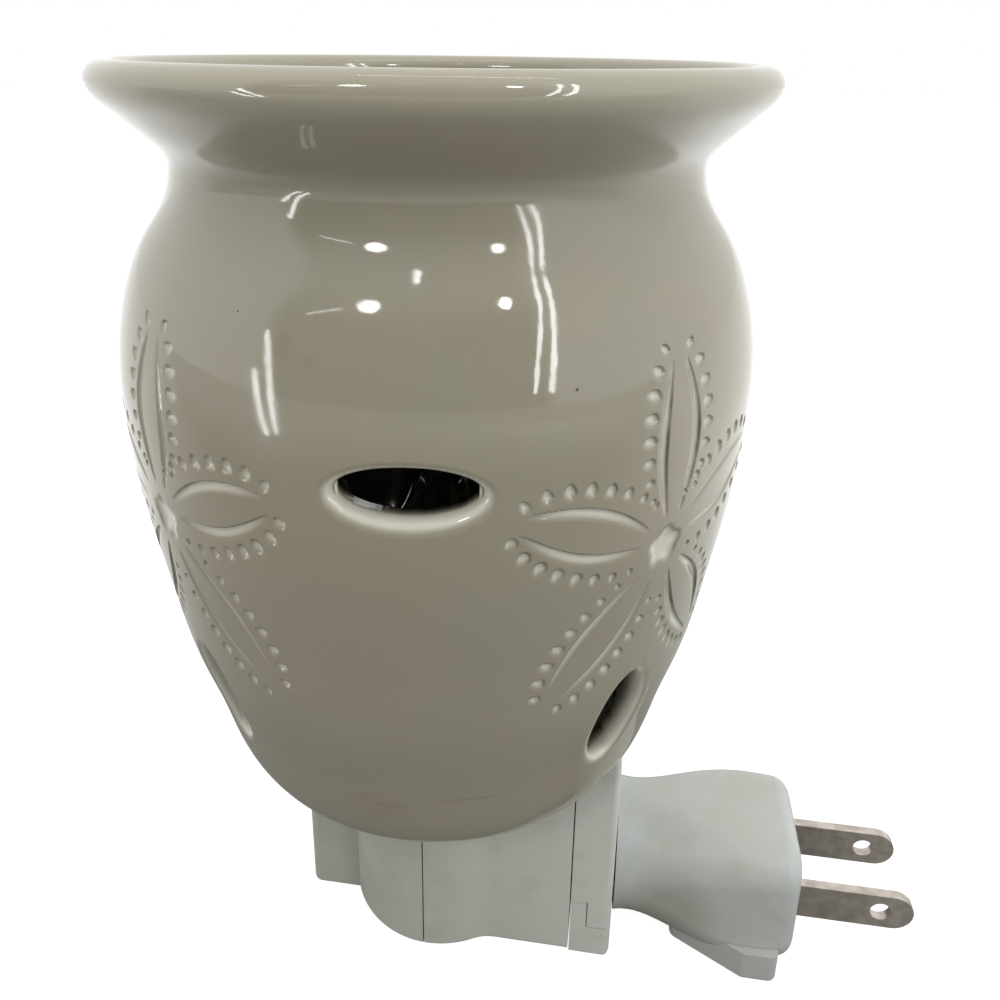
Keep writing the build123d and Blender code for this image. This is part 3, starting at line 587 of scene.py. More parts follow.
above = [tuple(p) for p in outer_line if p[1] > band_high]
above = [(float(outer_radius(band_high)), band_high), *above]
lip_inner = (rim_radius - 2 * rim_bead, crest_z - rim_bead)
throat = (neck_radius - dish_neck_wall, place(neck_share)[1])
dish_wall = smooth_curve(
    [lip_inner, (place(throat_share)[0] - dish_lip_wall, place(throat_share)[1]), throat],
    CURVE_STEPS, (0, -1), (0, -1),
)
dish_turn = arc((throat[0] - dish_corner, dish_bottom + dish_corner), dish_corner, 0, -90)
dish_flat = [(throat[0] - dish_corner - dish_ring_gap * k, dish_bottom) for k in range(1, dish_rings + 1)]
rim_round = arc((rim_radius - rim_bead, crest_z - rim_bead), rim_bead, 0, 180, 2 * BEAD_STEPS)
turned([
    *thin_out(above, above_gap)[:-1], *rim_round,
    *thin_out([tuple(p) for p in dish_wall[1:]], dish_gap), *dish_turn, *dish_flat,
], closed=True)

below = [(float(outer_radius(band_low)), band_low)]
below += [tuple(p) for p in outer_line[::-1] if foot_z + foot_bevel < p[1] < band_low]
foot_inset = foot_round_share * foot_bevel
foot_round = [(outer_radius(foot_z + foot_bevel) - foot_inset, foot_z + foot_inset)]
cavity_floor = foot_z + foot_thickness
inner_heights = np.linspace(cavity_floor + floor_fillet, band_low, inner_rows)
inner_line = [(float(outer_radius(z)) - ceramic_wall, float(z)) for z in inner_heights]
turned([
    *thin_out(below, below_gap), *foot_round, (foot_radius - foot_bevel, foot_z),
    (foot_hole_radius + foot_hole_bevel, foot_z), (foot_hole_radius, foot_z + foot_hole_bevel),
    (foot_hole_radius, cavity_floor), *inner_line,
])
shoulder_point = (place(shoulder_share)[0] - ceramic_wall, place(shoulder_share)[1])
turned([
    (float(outer_radius(inner_high)) - ceramic_wall, inner_high), shoulder_point,
    (shoulder_point[0] - cavity_corner, cavity_top), (ceiling_ring, cavity_top),
], closed=True)
print("vase corners:", len(vase_corners), "faces:", len(vase_faces))

# %% [markdown]
# ## One closed skin, and the notch for the base
# All stretches are welded where their edges meet. The notch at the foot, where the box of
# the base passes, is then cut with a Boolean, which is the plain tool for a straight-sided
# cut through a curved wall.

# %% Weld the skin and cut the notch
box_half_width, notch_gap, box_height = 12.5, 0.7, 40.4
overrun = 2.0
weld_reach = 0.002


def mesh_object(name, corners, faces):
    mesh = bpy.data.meshes.new(name)
    mesh.from_pydata([tuple(c * MM for c in corner) for corner in corners], [], faces)
    made = bpy.data.objects.new(name, mesh)
    bpy.context.scene.collection.objects.link(made)
    return made


vase = mesh_object("glazed_vase", vase_corners, vase_faces)
skin = bmesh.new()
skin.from_mesh(vase.data)
bmesh.ops.remove_doubles(skin, verts=skin.verts, dist=weld_reach * MM)
bmesh.ops.recalc_face_normals(skin, faces=skin.faces)
open_edges = sum(1 for e in skin.edges if len(e.link_faces) != 2)
skin.to_mesh(vase.data)
skin.free()

cutter_mesh = bmesh.new()
bmesh.ops.create_cube(cutter_mesh, size=1.0)
notch_top = box_height + notch_gap
for corner in cutter_mesh.verts:
    x = (corner.co.x + 0.5) * body_radius
    y = corner.co.y * 2 * (box_half_width + notch_gap)
    z = foot_z - overrun + (corner.co.z + 0.5) * (notch_top - foot_z + overrun)
    corner.co = Vector((x, y, z)) * MM
notch = bpy.data.objects.new("notch", bpy.data.meshes.new("notch"))
cutter_mesh.to_mesh(notch.data)
cutter_mesh.free()
bpy.context.scene.collection.objects.link(notch)
cut = vase.modifiers.new("notch", "BOOLEAN")
cut.object, cut.operation, cut.solver = notch, "DIFFERENCE", "MANIFOLD"
bpy.context.view_layer.update()
cut_mesh = bpy.data.meshes.new_from_object(vase.evaluated_get(bpy.context.evaluated_depsgraph_get()))
vase.modifiers.clear()
vase.data = cut_mesh
bpy.data.objects.remove(notch)
print("open edges before the cut:", open_edges, "| faces after it:", len(vase.data.polygons))

# %% [markdown]
# ## Even shading on an uneven mesh
# Small and large triangles meet round the carving, and averaged normals would make the
# gloss ripple there. On the plain skin the true normal is known from the profile, so it is
# given to the mesh. The carving keeps the averaged normals, and the notch stays flat.

# %% Give the skin its true normals
SAME = 0.01
SKIN_SAME = 0.002
vase_mesh = vase.data
corner_count = len(vase_mesh.vertices)
co = np.empty(corner_count * 3)
vase_mesh.vertices.foreach_get("co", co)
co = co.reshape(-1, 3) / MM
radius = np.hypot(co[:, 0], co[:, 1])
face_count = len(vase_mesh.polygons)
face_normal, face_centre = np.empty(face_count * 3), np.empty(face_count * 3)
vase_mesh.polygons.foreach_get("normal", face_normal)
vase_mesh.polygons.foreach_get("center", face_centre)
face_normal, face_centre = face_normal.reshape(-1, 3), face_centre.reshape(-1, 3) / MM
in_notch = (np.abs(face_centre[:, 1]) < box_half_width + notch_gap + SAME) & (face_centre[:, 0] > -SAME)
in_notch &= face_centre[:, 2] < notch_top + SAME
flat_side = np.abs(np.abs(face_centre[:, 1]) - box_half_width - notch_gap) < SAME
flat_roof = np.abs(face_centre[:, 2] - notch_top) < SAME
flat_face = in_notch & (flat_side | flat_roof)

loop_corner = np.empty(len(vase_mesh.loops), int)
vase_mesh.loops.foreach_get("vertex_index", loop_corner)
loop_total = np.empty(face_count, int)
vase_mesh.polygons.foreach_get("loop_total", loop_total)
loop_face = np.repeat(np.arange(face_count), loop_total)
face_area = np.empty(face_count)
vase_mesh.polygons.foreach_get("area", face_area)
soft = ~flat_face[loop_face]
summed = np.zeros((corner_count, 3))
weight = face_area[loop_face][soft] ** 0.5
np.add.at(summed, loop_corner[soft], face_normal[loop_face][soft] * weight[:, None])
corner_normal = summed / np.maximum(np.linalg.norm(summed, axis=1), 1e-12)[:, None]

skin_radius = outer_radius(co[:, 2])
tilt = outer_tilt(co[:, 2])
plain = (np.abs(radius - skin_radius) < SKIN_SAME) & (co[:, 2] > foot_z + 1)
plain &= co[:, 2] < rim_point[1] - 0.1
lean = 1 / np.hypot(1, tilt[plain])
true_normal = np.stack([
    co[plain, 0] / radius[plain] * lean, co[plain, 1] / radius[plain] * lean, -tilt[plain] * lean,
], axis=1)
corner_normal[plain] = true_normal
loop_normal = corner_normal[loop_corner]
loop_normal[~soft] = face_normal[loop_face][~soft]
vase_mesh.polygons.foreach_set("use_smooth", np.ones(face_count, bool))
vase_mesh.normals_split_custom_set([Vector(n) for n in loop_normal])
print("points with the profile's own normal:", int(plain.sum()))

# %% [markdown]
# ## Marks for the glaze
# The glaze needs to know where the skin is cut, where painted shade darkens the upper edge of a cut
# and which side faces the lamp. Each is a number kept on the mesh's points, so it goes where the vase goes.

# %% Mark the carving, the painted shade lines and the inside
inside_share = 0.8
inside_top = 112


def mark(name, values):
    """Keeps one number for each point of the vase, for its glaze to read."""
    kept = vase_mesh.attributes.new(name, "FLOAT", "POINT")
    kept.data.foreach_set("value", values.astype(np.float32))


sunk = (skin_radius - radius) / np.hypot(1, tilt)
on_band = (co[:, 2] > band_low) & (co[:, 2] < band_high) & (sunk < lip_depth + 0.1)
carved_share = np.where(on_band, np.clip(sunk / groove_depth, 0, 1), 0)
shade_line_tree = kdtree.KDTree(len(shade_line_points))
for index, (x, z, depth) in enumerate(shade_line_points):
    angle, r = x / body_radius, groove_radius(z, depth)
    shade_line_tree.insert((r * cos(angle), r * sin(angle), z), index)
shade_line_tree.balance()
painted_shade = np.array([shade_line_tree.find(point)[2] < SAME for point in co])
inside = (radius < skin_radius - inside_share * ceramic_wall) & (co[:, 2] < inside_top)
inside &= co[:, 2] > foot_z + 1
mark("carved", carved_share)
mark("inside", inside)
mark("shade_line", painted_shade)
vase_mesh.update()
marked = {"carved": carved_share > 0, "shade_line": painted_shade, "inside": inside}
print("marked points:", {name: int(points.sum()) for name, points in marked.items()})

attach(vase, "vase")
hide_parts("ceramic_body")


# %% [markdown]
# ## Building finishes from nodes
# Each finish is a small net of shader nodes. Effects that several finishes share, such as
# cloudy patches, fine specks and a gentle unevenness, are built once as node groups and
# placed in each finish with its own numbers. The shader itself stays in the finish. Painted
# pictures could do the same, but they would blur up close and need their own files.

# %% Helpers for nodes
def put(tree, kind, inputs=None, **settings):
    """Adds a node; an input is a number or colour to set, or a socket to link."""
    made = tree.nodes.new(kind)
    for name, value in settings.items():
        setattr(made, name, value)
    for name, value in (inputs or {}).items():
        if isinstance(value, bpy.types.NodeSocket):
            tree.links.new(value, made.inputs[name])
        else:
            made.inputs[name].default_value = value
    return made


def mixed(tree, mask, first, second):
    """A colour between first and second, by the mask."""
    made = put(tree, "ShaderNodeMix", {0: mask, 6: first, 7: second}, data_type="RGBA")
    return made.outputs[2]


def spread(tree, value, low, high, to_low=0.0, to_high=1.0):
    """Maps a value's range low..high onto another, held inside it."""
    names = ("From Min", "From Max", "To Min", "To Max")
    made = put(tree, "ShaderNodeMapRange", dict(zip(names, (low, high, to_low, to_high))))
    tree.links.new(value, made.inputs["Value"])
    return made.outputs["Result"]


def combined(tree, operation, first, second):
    """The result of a sum, product or comparison of two values."""
    return put(tree, "ShaderNodeMath", {0: first, 1: second}, operation=operation).outputs[0]


def start_group(name, inputs, outputs):
    tree = bpy.data.node_groups.new(name, "ShaderNodeTree")
    for label, value in inputs.items():
        socket = tree.interface.new_socket(name=label, in_out="INPUT", socket_type="NodeSocketFloat")
        socket.default_value = value
    for label in outputs:
        tree.interface.new_socket(name=label, in_out="OUTPUT", socket_type="NodeSocketFloat")
    return tree, tree.nodes.new("NodeGroupInput").outputs, tree.nodes.new("NodeGroupOutput").inputs


def use_group(tree, group, **values):
    made = tree.nodes.new("ShaderNodeGroup")
    made.node_tree = group
    for label, value in values.items():
        made.inputs[label.replace("_", " ")].default_value = value
    return made.outputs


# %% [markdown]
# Three effects serve all the finishes. Clouds are patches of soft noise, specks are the
# small cores of scattered cells, and unevenness is a broad swell with a fine grain on it.

# %% Shared effects: clouds, specks and unevenness
cloud_group, given, result = start_group("clouds", {"Scale": 60, "Low": 0.4, "High": 0.65}, ["Mask"])
where = put(cloud_group, "ShaderNodeTexCoord").outputs["Object"]
noise = put(cloud_group, "ShaderNodeTexNoise", {"Vector": where, "Scale": given["Scale"], "Detail": 4.0})
ranged = put(cloud_group, "ShaderNodeMapRange", {
    "Value": noise.outputs["Fac"], "From Min": given["Low"], "From Max": given["High"],
})
cloud_group.links.new(ranged.outputs["Result"], result["Mask"])

speck_group, given, result = start_group("specks", {"Scale": 900, "Size": 0.25, "Rarity": 0.8}, ["Mask"])
where = put(speck_group, "ShaderNodeTexCoord").outputs["Object"]
cells = put(speck_group, "ShaderNodeTexVoronoi", {"Vector": where, "Scale": given["Scale"]})
near = combined(speck_group, "LESS_THAN", cells.outputs["Distance"], given["Size"])
pick = put(speck_group, "ShaderNodeSeparateColor", {"Color": cells.outputs["Color"]})
rare = combined(speck_group, "GREATER_THAN", pick.outputs[0], given["Rarity"])
speck_group.links.new(combined(speck_group, "MULTIPLY", near, rare), result["Mask"])

uneven_group, given, result = start_group(
    "unevenness", {"Broad": 45, "Fine": 700, "Fine Share": 0.1}, ["Height"]
)
where = put(uneven_group, "ShaderNodeTexCoord").outputs["Object"]
broad = put(uneven_group, "ShaderNodeTexNoise", {"Vector": where, "Scale": given["Broad"], "Detail": 1.0})
fine = put(uneven_group, "ShaderNodeTexNoise", {"Vector": where, "Scale": given["Fine"], "Detail": 3.0})
share = combined(uneven_group, "MULTIPLY", fine.outputs["Fac"], given["Fine Share"])
uneven_group.links.new(combined(uneven_group, "ADD", broad.outputs["Fac"], share), result["Height"])
print("shared effects:", [group.name for group in bpy.data.node_groups])


def start_finish(name):
    finish = bpy.data.materials.new(name)
    finish.use_nodes = True
    tree = finish.node_tree
    return finish, tree, tree.nodes["Principled BSDF"].inputs


def roughen(tree, shader, distance, **sizes):
    """Gives a finish its unevenness, as tall as distance."""
    height = use_group(tree, uneven_group, **sizes)["Height"]
    bump = put(tree, "ShaderNodeBump", {"Height": height, "Strength": 1.0, "Distance": distance})
    tree.links.new(bump.outputs["Normal"], shader["Normal"])


# %% [markdown]
# ## The glaze
# A stoneware glaze in warm grey-beige, fired to a high gloss. It gathers paler in the cuts,
# is paler towards the rim, drifts a little in tone, and carries two pinholes and brown stains
# from use near the foot and on the shoulder. A thin painted shade darkens the upper edge of
# each cut. The gloss needs almost no roughness, only the slow waviness of a melted surface.
# The inside looks black through the vents, so it is painted dark as painted shade; what it is
# like on the real vase can't be seen.

# %% Make the glaze
GLAZE_BODY = (0.270, 0.247, 0.183, 1)
GLAZE_WARM = (0.285, 0.250, 0.180, 1)
GLAZE_COOL = (0.276, 0.270, 0.212, 1)
GLAZE_POOLED = (0.560, 0.545, 0.460, 1)
GLAZE_RIM = (0.420, 0.392, 0.300, 1)
GLAZE_STAIN = (0.185, 0.130, 0.065, 1)
# the dark of the pinholes, and also the colour of the painted shade in the edges of the cuts and inside the
# vase
GLAZE_PINHOLE_AND_SHADE = (0.060, 0.050, 0.035, 1)
rim_pale_low, rim_pale_high, rim_pale_share = 4.5, 1.0, 0.35
inside_shade_share = 0.85
# turn in degrees, height, half length and half height in millimetres, strength
stains = (
    (-93.2, 48.4, 5.0, 3.4, 0.6), (-72.5, 50.5, 6.5, 0.45, 0.6), (-101.4, 113.0, 2.2, 1.6, 0.3),
    (-97.2, 111.9, 1.5, 1.1, 0.25),
)
# turn in degrees, height and radius in millimetres
pinholes = ((-59.7, 108.9, 0.24), (-109.7, 115.7, 0.14))


def on_skin_place(turn_degrees, z):
    r = float(outer_radius(z))
    return Vector((r * cos(radians(turn_degrees)), r * sin(radians(turn_degrees)), z)) * MM


glaze, tree, shader = start_finish("glaze")
where = put(tree, "ShaderNodeTexCoord").outputs["Object"]
warm = use_group(tree, cloud_group, Scale=22.0, Low=0.35, High=0.68)["Mask"]
cool = use_group(tree, cloud_group, Scale=16.0, Low=0.45, High=0.72)["Mask"]
colour = mixed(tree, warm, GLAZE_BODY, GLAZE_WARM)
colour = mixed(tree, cool, colour, GLAZE_COOL)
height = put(tree, "ShaderNodeSeparateXYZ", {0: where}).outputs["Z"]
rim_from, rim_to = (rim_point[1] - rim_pale_low) * MM, (rim_point[1] - rim_pale_high) * MM
colour = mixed(tree, spread(tree, height, rim_from, rim_to, 0.0, rim_pale_share), colour, GLAZE_RIM)
carved_depth = put(tree, "ShaderNodeAttribute", attribute_name="carved").outputs["Fac"]
colour = mixed(tree, spread(tree, carved_depth, 0.2, 0.85, 0.0, 0.95), colour, GLAZE_POOLED)
# painted shade: a thin dark line along the upper edge of each cut, broken in patches, where the shadow
# falls
shade_line = put(tree, "ShaderNodeAttribute", attribute_name="shade_line").outputs["Fac"]
broken = use_group(tree, cloud_group, Scale=260.0, Low=0.3, High=0.6)["Mask"]
line = combined(tree, "MULTIPLY", shade_line, broken)
colour = mixed(tree, spread(tree, line, 0.15, 1.0, 0.0, 0.62), colour, GLAZE_PINHOLE_AND_SHADE)
for turn_degrees, z, long, high, strength in stains:
    centre = on_skin_place(turn_degrees, z)
    from_centre = put(tree, "ShaderNodeVectorMath", {0: where, 1: centre}, operation="SUBTRACT").outputs[0]
    shares = Vector((1 / long, 1 / long, 1 / high)) / MM
    scaled = put(tree, "ShaderNodeVectorMath", {0: from_centre, 1: shares}, operation="MULTIPLY").outputs[0]
    away = put(tree, "ShaderNodeVectorMath", {0: scaled}, operation="LENGTH").outputs["Value"]
    blotch = use_group(tree, cloud_group, Scale=330.0, Low=0.3, High=0.75)["Mask"]
    spot = spread(tree, away, 1.0, 0.2, 0.0, strength)
    colour = mixed(tree, combined(tree, "MULTIPLY", spot, blotch), colour, GLAZE_STAIN)
for turn_degrees, z, size in pinholes:
    centre = on_skin_place(turn_degrees, z)
    away = put(tree, "ShaderNodeVectorMath", {0: where, 1: centre}, operation="DISTANCE").outputs["Value"]
    colour = mixed(tree, spread(tree, away, size * MM, size * 0.6 * MM), colour, GLAZE_PINHOLE_AND_SHADE)
specks = use_group(tree, speck_group, Scale=520.0, Size=0.07, Rarity=0.97)["Mask"]
colour = mixed(tree, spread(tree, specks, 0, 1, 0, 0.4), colour, GLAZE_STAIN)
# painted shade: the inner skin is darkened, as the inside of the vase lies in shade
inside_shade = put(tree, "ShaderNodeAttribute", attribute_name="inside").outputs["Fac"]
colour = mixed(tree, spread(tree, inside_shade, 0, 1, 0, inside_shade_share), colour, GLAZE_PINHOLE_AND_SHADE)
tree.links.new(colour, shader["Base Color"])
smear = use_group(tree, cloud_group, Scale=70.0, Low=0.4, High=0.7)["Mask"]
tree.links.new(spread(tree, smear, 0, 1, 0.045, 0.11), shader["Roughness"])
shader["IOR"].default_value = 1.52
roughen(tree, shader, 0.0006, Broad=38.0, Fine=420.0, Fine_Share=0.02)
vase_mesh.materials.clear()
vase_mesh.materials.append(glaze)
print("glaze:", len(tree.nodes), "nodes, stains:", len(stains), "pinholes:", len(pinholes))


# %% [markdown]
# ## Plastics
# The base and the plug are moulded in an off-white plastic that has yellowed a little and
# picked up grime. All plastics here are one recipe with different numbers: two near
# colours in clouds, dirt in patches and specks, and a satin surface with a fine grain. The
# base is paler towards the plug, and painted shade darkens the hollows at both sides of the
# plug near its neck.

# %% Make the plastics
HOUSING_LIGHT, HOUSING_AGED = (0.445, 0.450, 0.392, 1), (0.414, 0.412, 0.342, 1)
PLUG_LIGHT, PLUG_AGED = (0.437, 0.455, 0.438, 1), (0.418, 0.420, 0.375, 1)
# GRIME is dirt; the second colour is the painted shade in the hollows of the plug's grip
GRIME, POCKET_SHADE = (0.22, 0.19, 0.13, 1), (0.24, 0.225, 0.17, 1)
# where along the plug's axis the paler tone begins and is full, in metres, and its colour
housing_paler_end = (-0.004, 0.034, (0.56, 0.572, 0.52, 1))
# painted shade: the plug is darkened in the hollows at both sides of its neck
# centre and reach in millimetres, strength
plug_pocket_shades = (((39.5, -10.5, 10.0), 9.0, 0.55), ((39.5, 10.5, 10.0), 9.0, 0.55))
pocket_shade_full_share = 0.35


def plastic(name, light, aged, dirt, dirt_share, rough, grain, paler_end=None, pocket_shades=()):
    finish, tree, shader = start_finish(name)
    where = put(tree, "ShaderNodeTexCoord").outputs["Object"]
    clouds = use_group(tree, cloud_group, Scale=90.0, Low=0.38, High=0.66)["Mask"]
    colour = mixed(tree, clouds, light, aged)
    if paler_end:
        along = put(tree, "ShaderNodeSeparateXYZ", {0: where}).outputs["X"]
        colour = mixed(tree, spread(tree, along, *paler_end[:2]), colour, paler_end[2])
    # painted shade in the hollows of the plug's grip
    for centre, reach, strength in pocket_shades:
        away = put(tree, "ShaderNodeVectorMath", {0: where, 1: Vector(centre) * MM}, operation="DISTANCE")
        full = pocket_shade_full_share * reach * MM
        pocket_shade = spread(tree, away.outputs["Value"], reach * MM, full, 0.0, strength)
        colour = mixed(tree, pocket_shade, colour, POCKET_SHADE)
    patches = use_group(tree, cloud_group, Scale=210.0, Low=0.55, High=0.75)["Mask"]
    colour = mixed(tree, spread(tree, patches, 0, 1, 0, dirt_share), colour, dirt)
    specks = use_group(tree, speck_group, Scale=900.0, Size=0.12, Rarity=0.97)["Mask"]
    colour = mixed(tree, spread(tree, specks, 0, 1, 0, 0.4), colour, dirt)
    tree.links.new(colour, shader["Base Color"])
    tree.links.new(spread(tree, clouds, 0, 1, rough - 0.05, rough + 0.08), shader["Roughness"])
    roughen(tree, shader, grain, Broad=150.0, Fine=2600.0, Fine_Share=0.35)
    return finish


finishes = {
    "glaze": glaze,
    "housing_plastic": plastic(
        "housing_plastic", HOUSING_LIGHT, HOUSING_AGED, GRIME, 0.12, 0.36, 0.00006, housing_paler_end
    ),
    "plug_plastic": plastic(
        "plug_plastic", PLUG_LIGHT, PLUG_AGED, GRIME, 0.12, 0.42, 0.00008, None, plug_pocket_shades
    ),
}
# name: light colour, aged colour, dirt, dirt's share, roughness, height of the grain in metres
plainer_plastics = {
    "holder_plastic": ((0.6, 0.59, 0.53, 1), (0.54, 0.51, 0.43, 1), GRIME, 0.1, 0.5, 0.00005),
    "switch_plastic": ((0.58, 0.59, 0.54, 1), (0.53, 0.53, 0.46, 1), GRIME, 0.1, 0.45, 0.00004),
    "rocker_plastic": ((0.64, 0.64, 0.6, 1), (0.6, 0.58, 0.5, 1), GRIME, 0.1, 0.22, 0.00002),
    "wire_jacket": ((0.6, 0.6, 0.57, 1), (0.54, 0.53, 0.48, 1), GRIME, 0.1, 0.4, 0.00003),
    "bulb_black": ((0.03, 0.03, 0.035, 1), (0.02, 0.02, 0.02, 1), (0.1, 0.09, 0.08, 1), 0.2, 0.15, 0.00002),
}
for name, numbers in plainer_plastics.items():
    finishes[name] = plastic(name, *numbers)
print("finishes so far:", sorted(finishes))


# %% [markdown]
# ## Metals
# The blades are nickel-plated brass that has dulled to a brownish grey with darker
# mottling. Brass, steel and fine wire follow the same recipe: bright and tarnished colours
# in clouds, and a roughness that follows them.

# %% Make the metals
def metal(name, bright, tarnished, scale, smooth, dull, scratch):
    finish, tree, shader = start_finish(name)
    tarnish = use_group(tree, cloud_group, Scale=scale, Low=0.38, High=0.64)["Mask"]
    colour = mixed(tree, tarnish, bright, tarnished)
    specks = use_group(tree, speck_group, Scale=1500.0, Size=0.2, Rarity=0.85)["Mask"]
    colour = mixed(tree, spread(tree, specks, 0, 1, 0, 0.5), colour, tarnished)
    tree.links.new(colour, shader["Base Color"])
    tree.links.new(spread(tree, tarnish, 0, 1, smooth, dull), shader["Roughness"])
    shader["Metallic"].default_value = 1.0
    roughen(tree, shader, scratch, Broad=300.0, Fine=3000.0, Fine_Share=0.5)
    return finish


# name: bright colour, tarnished colour, size of the clouds, least and most rough, scratches' height
metals = {
    "blade_metal": ((0.56, 0.51, 0.455, 1), (0.42, 0.375, 0.325, 1), 520.0, 0.32, 0.45, 0.00002),
    "brass": ((0.72, 0.52, 0.22, 1), (0.50, 0.33, 0.13, 1), 300.0, 0.22, 0.42, 0.00002),
    "screw_steel": ((0.55, 0.55, 0.56, 1), (0.4, 0.39, 0.38, 1), 400.0, 0.25, 0.45, 0.00002),
    "bulb_metal": ((0.68, 0.6, 0.42, 1), (0.5, 0.43, 0.28, 1), 350.0, 0.2, 0.36, 0.00002),
    "wire_metal": ((0.3, 0.3, 0.31, 1), (0.2, 0.2, 0.2, 1), 900.0, 0.3, 0.5, 0.00001),
}
for name, numbers in metals.items():
    finishes[name] = metal(name, *numbers)
print("finishes so far:", sorted(finishes))


# %% [markdown]
# ## Glass
# The lamp's bulb is clear blown glass. It keeps a plain transmission, and its tint drifts
# between two near colours, with a slight waviness from blowing.

# %% Make the glasses
def glass(name, clear, tinted, rough):
    finish, tree, shader = start_finish(name)
    drift = use_group(tree, cloud_group, Scale=120.0, Low=0.4, High=0.7)["Mask"]
    tree.links.new(mixed(tree, drift, clear, tinted), shader["Base Color"])
    tree.links.new(spread(tree, drift, 0, 1, rough, rough + 0.02), shader["Roughness"])
    shader["Transmission Weight"].default_value = 1.0
    shader["IOR"].default_value = 1.5
    roughen(tree, shader, 0.0001, Broad=90.0, Fine=500.0, Fine_Share=0.02)
    return finish


finishes["bulb_glass"] = glass("bulb_glass", (0.98, 0.98, 0.97, 1), (0.93, 0.95, 0.93, 1), 0.0)
finishes["stem_glass"] = glass("stem_glass", (0.95, 0.96, 0.95, 1), (0.88, 0.91, 0.89, 1), 0.03)
print("finishes so far:", sorted(finishes))

# %% [markdown]
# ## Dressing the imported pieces
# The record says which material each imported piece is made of. Their shapes are right as
# they are, so only their finish is set.

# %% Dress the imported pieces
for entry in frame["record"]["subparts"]:
    piece = frame["nodes"][entry["node"]]
    if not piece.material_slots:
        piece.data.materials.append(None)
    for slot in piece.material_slots:
        slot.material = finishes[entry["material_slot"]]

# %% [markdown]
# ## The studio
# The photograph has a white surround, soft light from both sides and above, two pairs of
# long tubes and a few small lamps that show as sharp reflections in the glaze. A lamp is
# placed where its reflection says it is: the view ray is bounced off the vase's skin. One
# more tube, above, only lights the rim and isn't read from the photograph.


# %% Find a lamp from its reflection
def view_ray(u, v):
    aim = CAMERA_AIM + view_right * ((u - CENTRE_PIXEL[0]) / FOCAL_PIXELS)
    return (aim + view_down * ((v - CENTRE_PIXEL[1]) / FOCAL_PIXELS)).normalized()


def bounced(u, v):
    """Where the view ray through a pixel meets the vase, and the way it leaves again."""
    ray, reach = view_ray(u, v), 0.04
    while reach < 0.3:
        spot = CAMERA_PLACE + ray * reach
        if hypot(spot.x, spot.y) < outer_radius(spot.z / MM) * MM and spot.z < rim_point[1] * MM:
            break
        reach += 0.0001
    lean = float(outer_tilt(spot.z / MM))
    normal = Vector((spot.x, spot.y, -lean * hypot(spot.x, spot.y))).normalized()
    return spot, ray.reflect(normal)


def soft_light(name, centre, aim, wide, high, radiance, up=Vector((0, 0, 1)), shape="RECTANGLE"):
    """A flat light of a given radiance, at centre and facing aim."""
    light = bpy.data.lights.new(name, "AREA")
    light.shape, light.size, light.size_y = shape, wide, high
    light.energy = radiance * pi * wide * high * (pi / 4 if shape == "ELLIPSE" else 1)
    made = bpy.data.objects.new(name, light)
    back = (Vector(centre) - Vector(aim)).normalized()
    side = up.cross(back).normalized()
    turn = Matrix((side, back.cross(side), back)).transposed()
    made.matrix_world = Matrix.Translation(centre) @ turn.to_4x4()
    bpy.context.scene.collection.objects.link(made)


def reflected_light(name, top, bottom, pixel_width, distance, radiance, shape="RECTANGLE"):
    """A light whose reflection runs between two pixels and is some pixels wide."""
    (top_spot, top_way), (low_spot, low_way) = bounced(*top), bounced(*bottom)
    top_end, low_end = top_spot + top_way * distance, low_spot + low_way * distance
    spot, way = bounced((top[0] + bottom[0]) / 2, (top[1] + bottom[1]) / 2)
    beside, beside_way = bounced((top[0] + bottom[0]) / 2 + pixel_width, (top[1] + bottom[1]) / 2)
    wide = ((beside + beside_way * distance) - (spot + way * distance)).length
    along = top_end - low_end
    soft_light(name, (top_end + low_end) / 2, spot, wide, along.length, radiance, along.normalized(), shape)
    print(name, "is", round(wide, 3), "by", round(along.length, 2), "m")


# name, top and bottom of the reflection and its width in pixels, distance in metres
tube_reflections = (
    ("tube_right_inner", (534, 275), (536, 396), 4.5, 0.9),
    ("tube_right_outer", (547, 275), (553, 394), 5.5, 0.9),
    ("tube_left_inner", (266, 330), (276, 434), 5, 0.4),
    ("tube_left_outer", (251, 370), (266, 435), 4.5, 0.4),
)
lamp_reflections = (
    ("lamp_large", (368, 299), (368, 311), 24),
    ("lamp_small", (501, 298), (501, 310), 14),
)
ROD_TOP, ROD_BOTTOM, ROD_WIDTH, ROD_RADIANCE = (341, 307), (306, 312), 1.6, 12.0
SPOT_PIXEL = (418, 276)
SPOT_WIDE, SPOT_HIGH = 0.05, 0.03
TUBE_RADIANCE = 14.0
LAMP_DISTANCE, LAMP_RADIANCE = 1.2, 24.0
VASE_MIDDLE = Vector((0, 0, 0.09))
TUBE_ABOVE, ABOVE_LONG, ABOVE_THICK, ABOVE_RADIANCE = Vector((0.08, -0.02, 1.2)), 0.7, 0.012, 22.0

for name, top, bottom, wide, distance in tube_reflections:
    reflected_light(name, top, bottom, wide, distance, TUBE_RADIANCE)
for name, top, bottom, wide in lamp_reflections:
    reflected_light(name, top, bottom, wide, LAMP_DISTANCE, LAMP_RADIANCE, "ELLIPSE")
spot, way = bounced(*SPOT_PIXEL)
spot_place = spot + way * LAMP_DISTANCE
soft_light("lamp_spot", spot_place, spot, SPOT_WIDE, SPOT_HIGH, LAMP_RADIANCE, shape="ELLIPSE")
reflected_light("thin_rod", ROD_TOP, ROD_BOTTOM, ROD_WIDTH, LAMP_DISTANCE, ROD_RADIANCE)
across_view = Vector((0, 1, 0))
soft_light("tube_above", TUBE_ABOVE, VASE_MIDDLE, ABOVE_LONG, ABOVE_THICK, ABOVE_RADIANCE, across_view)

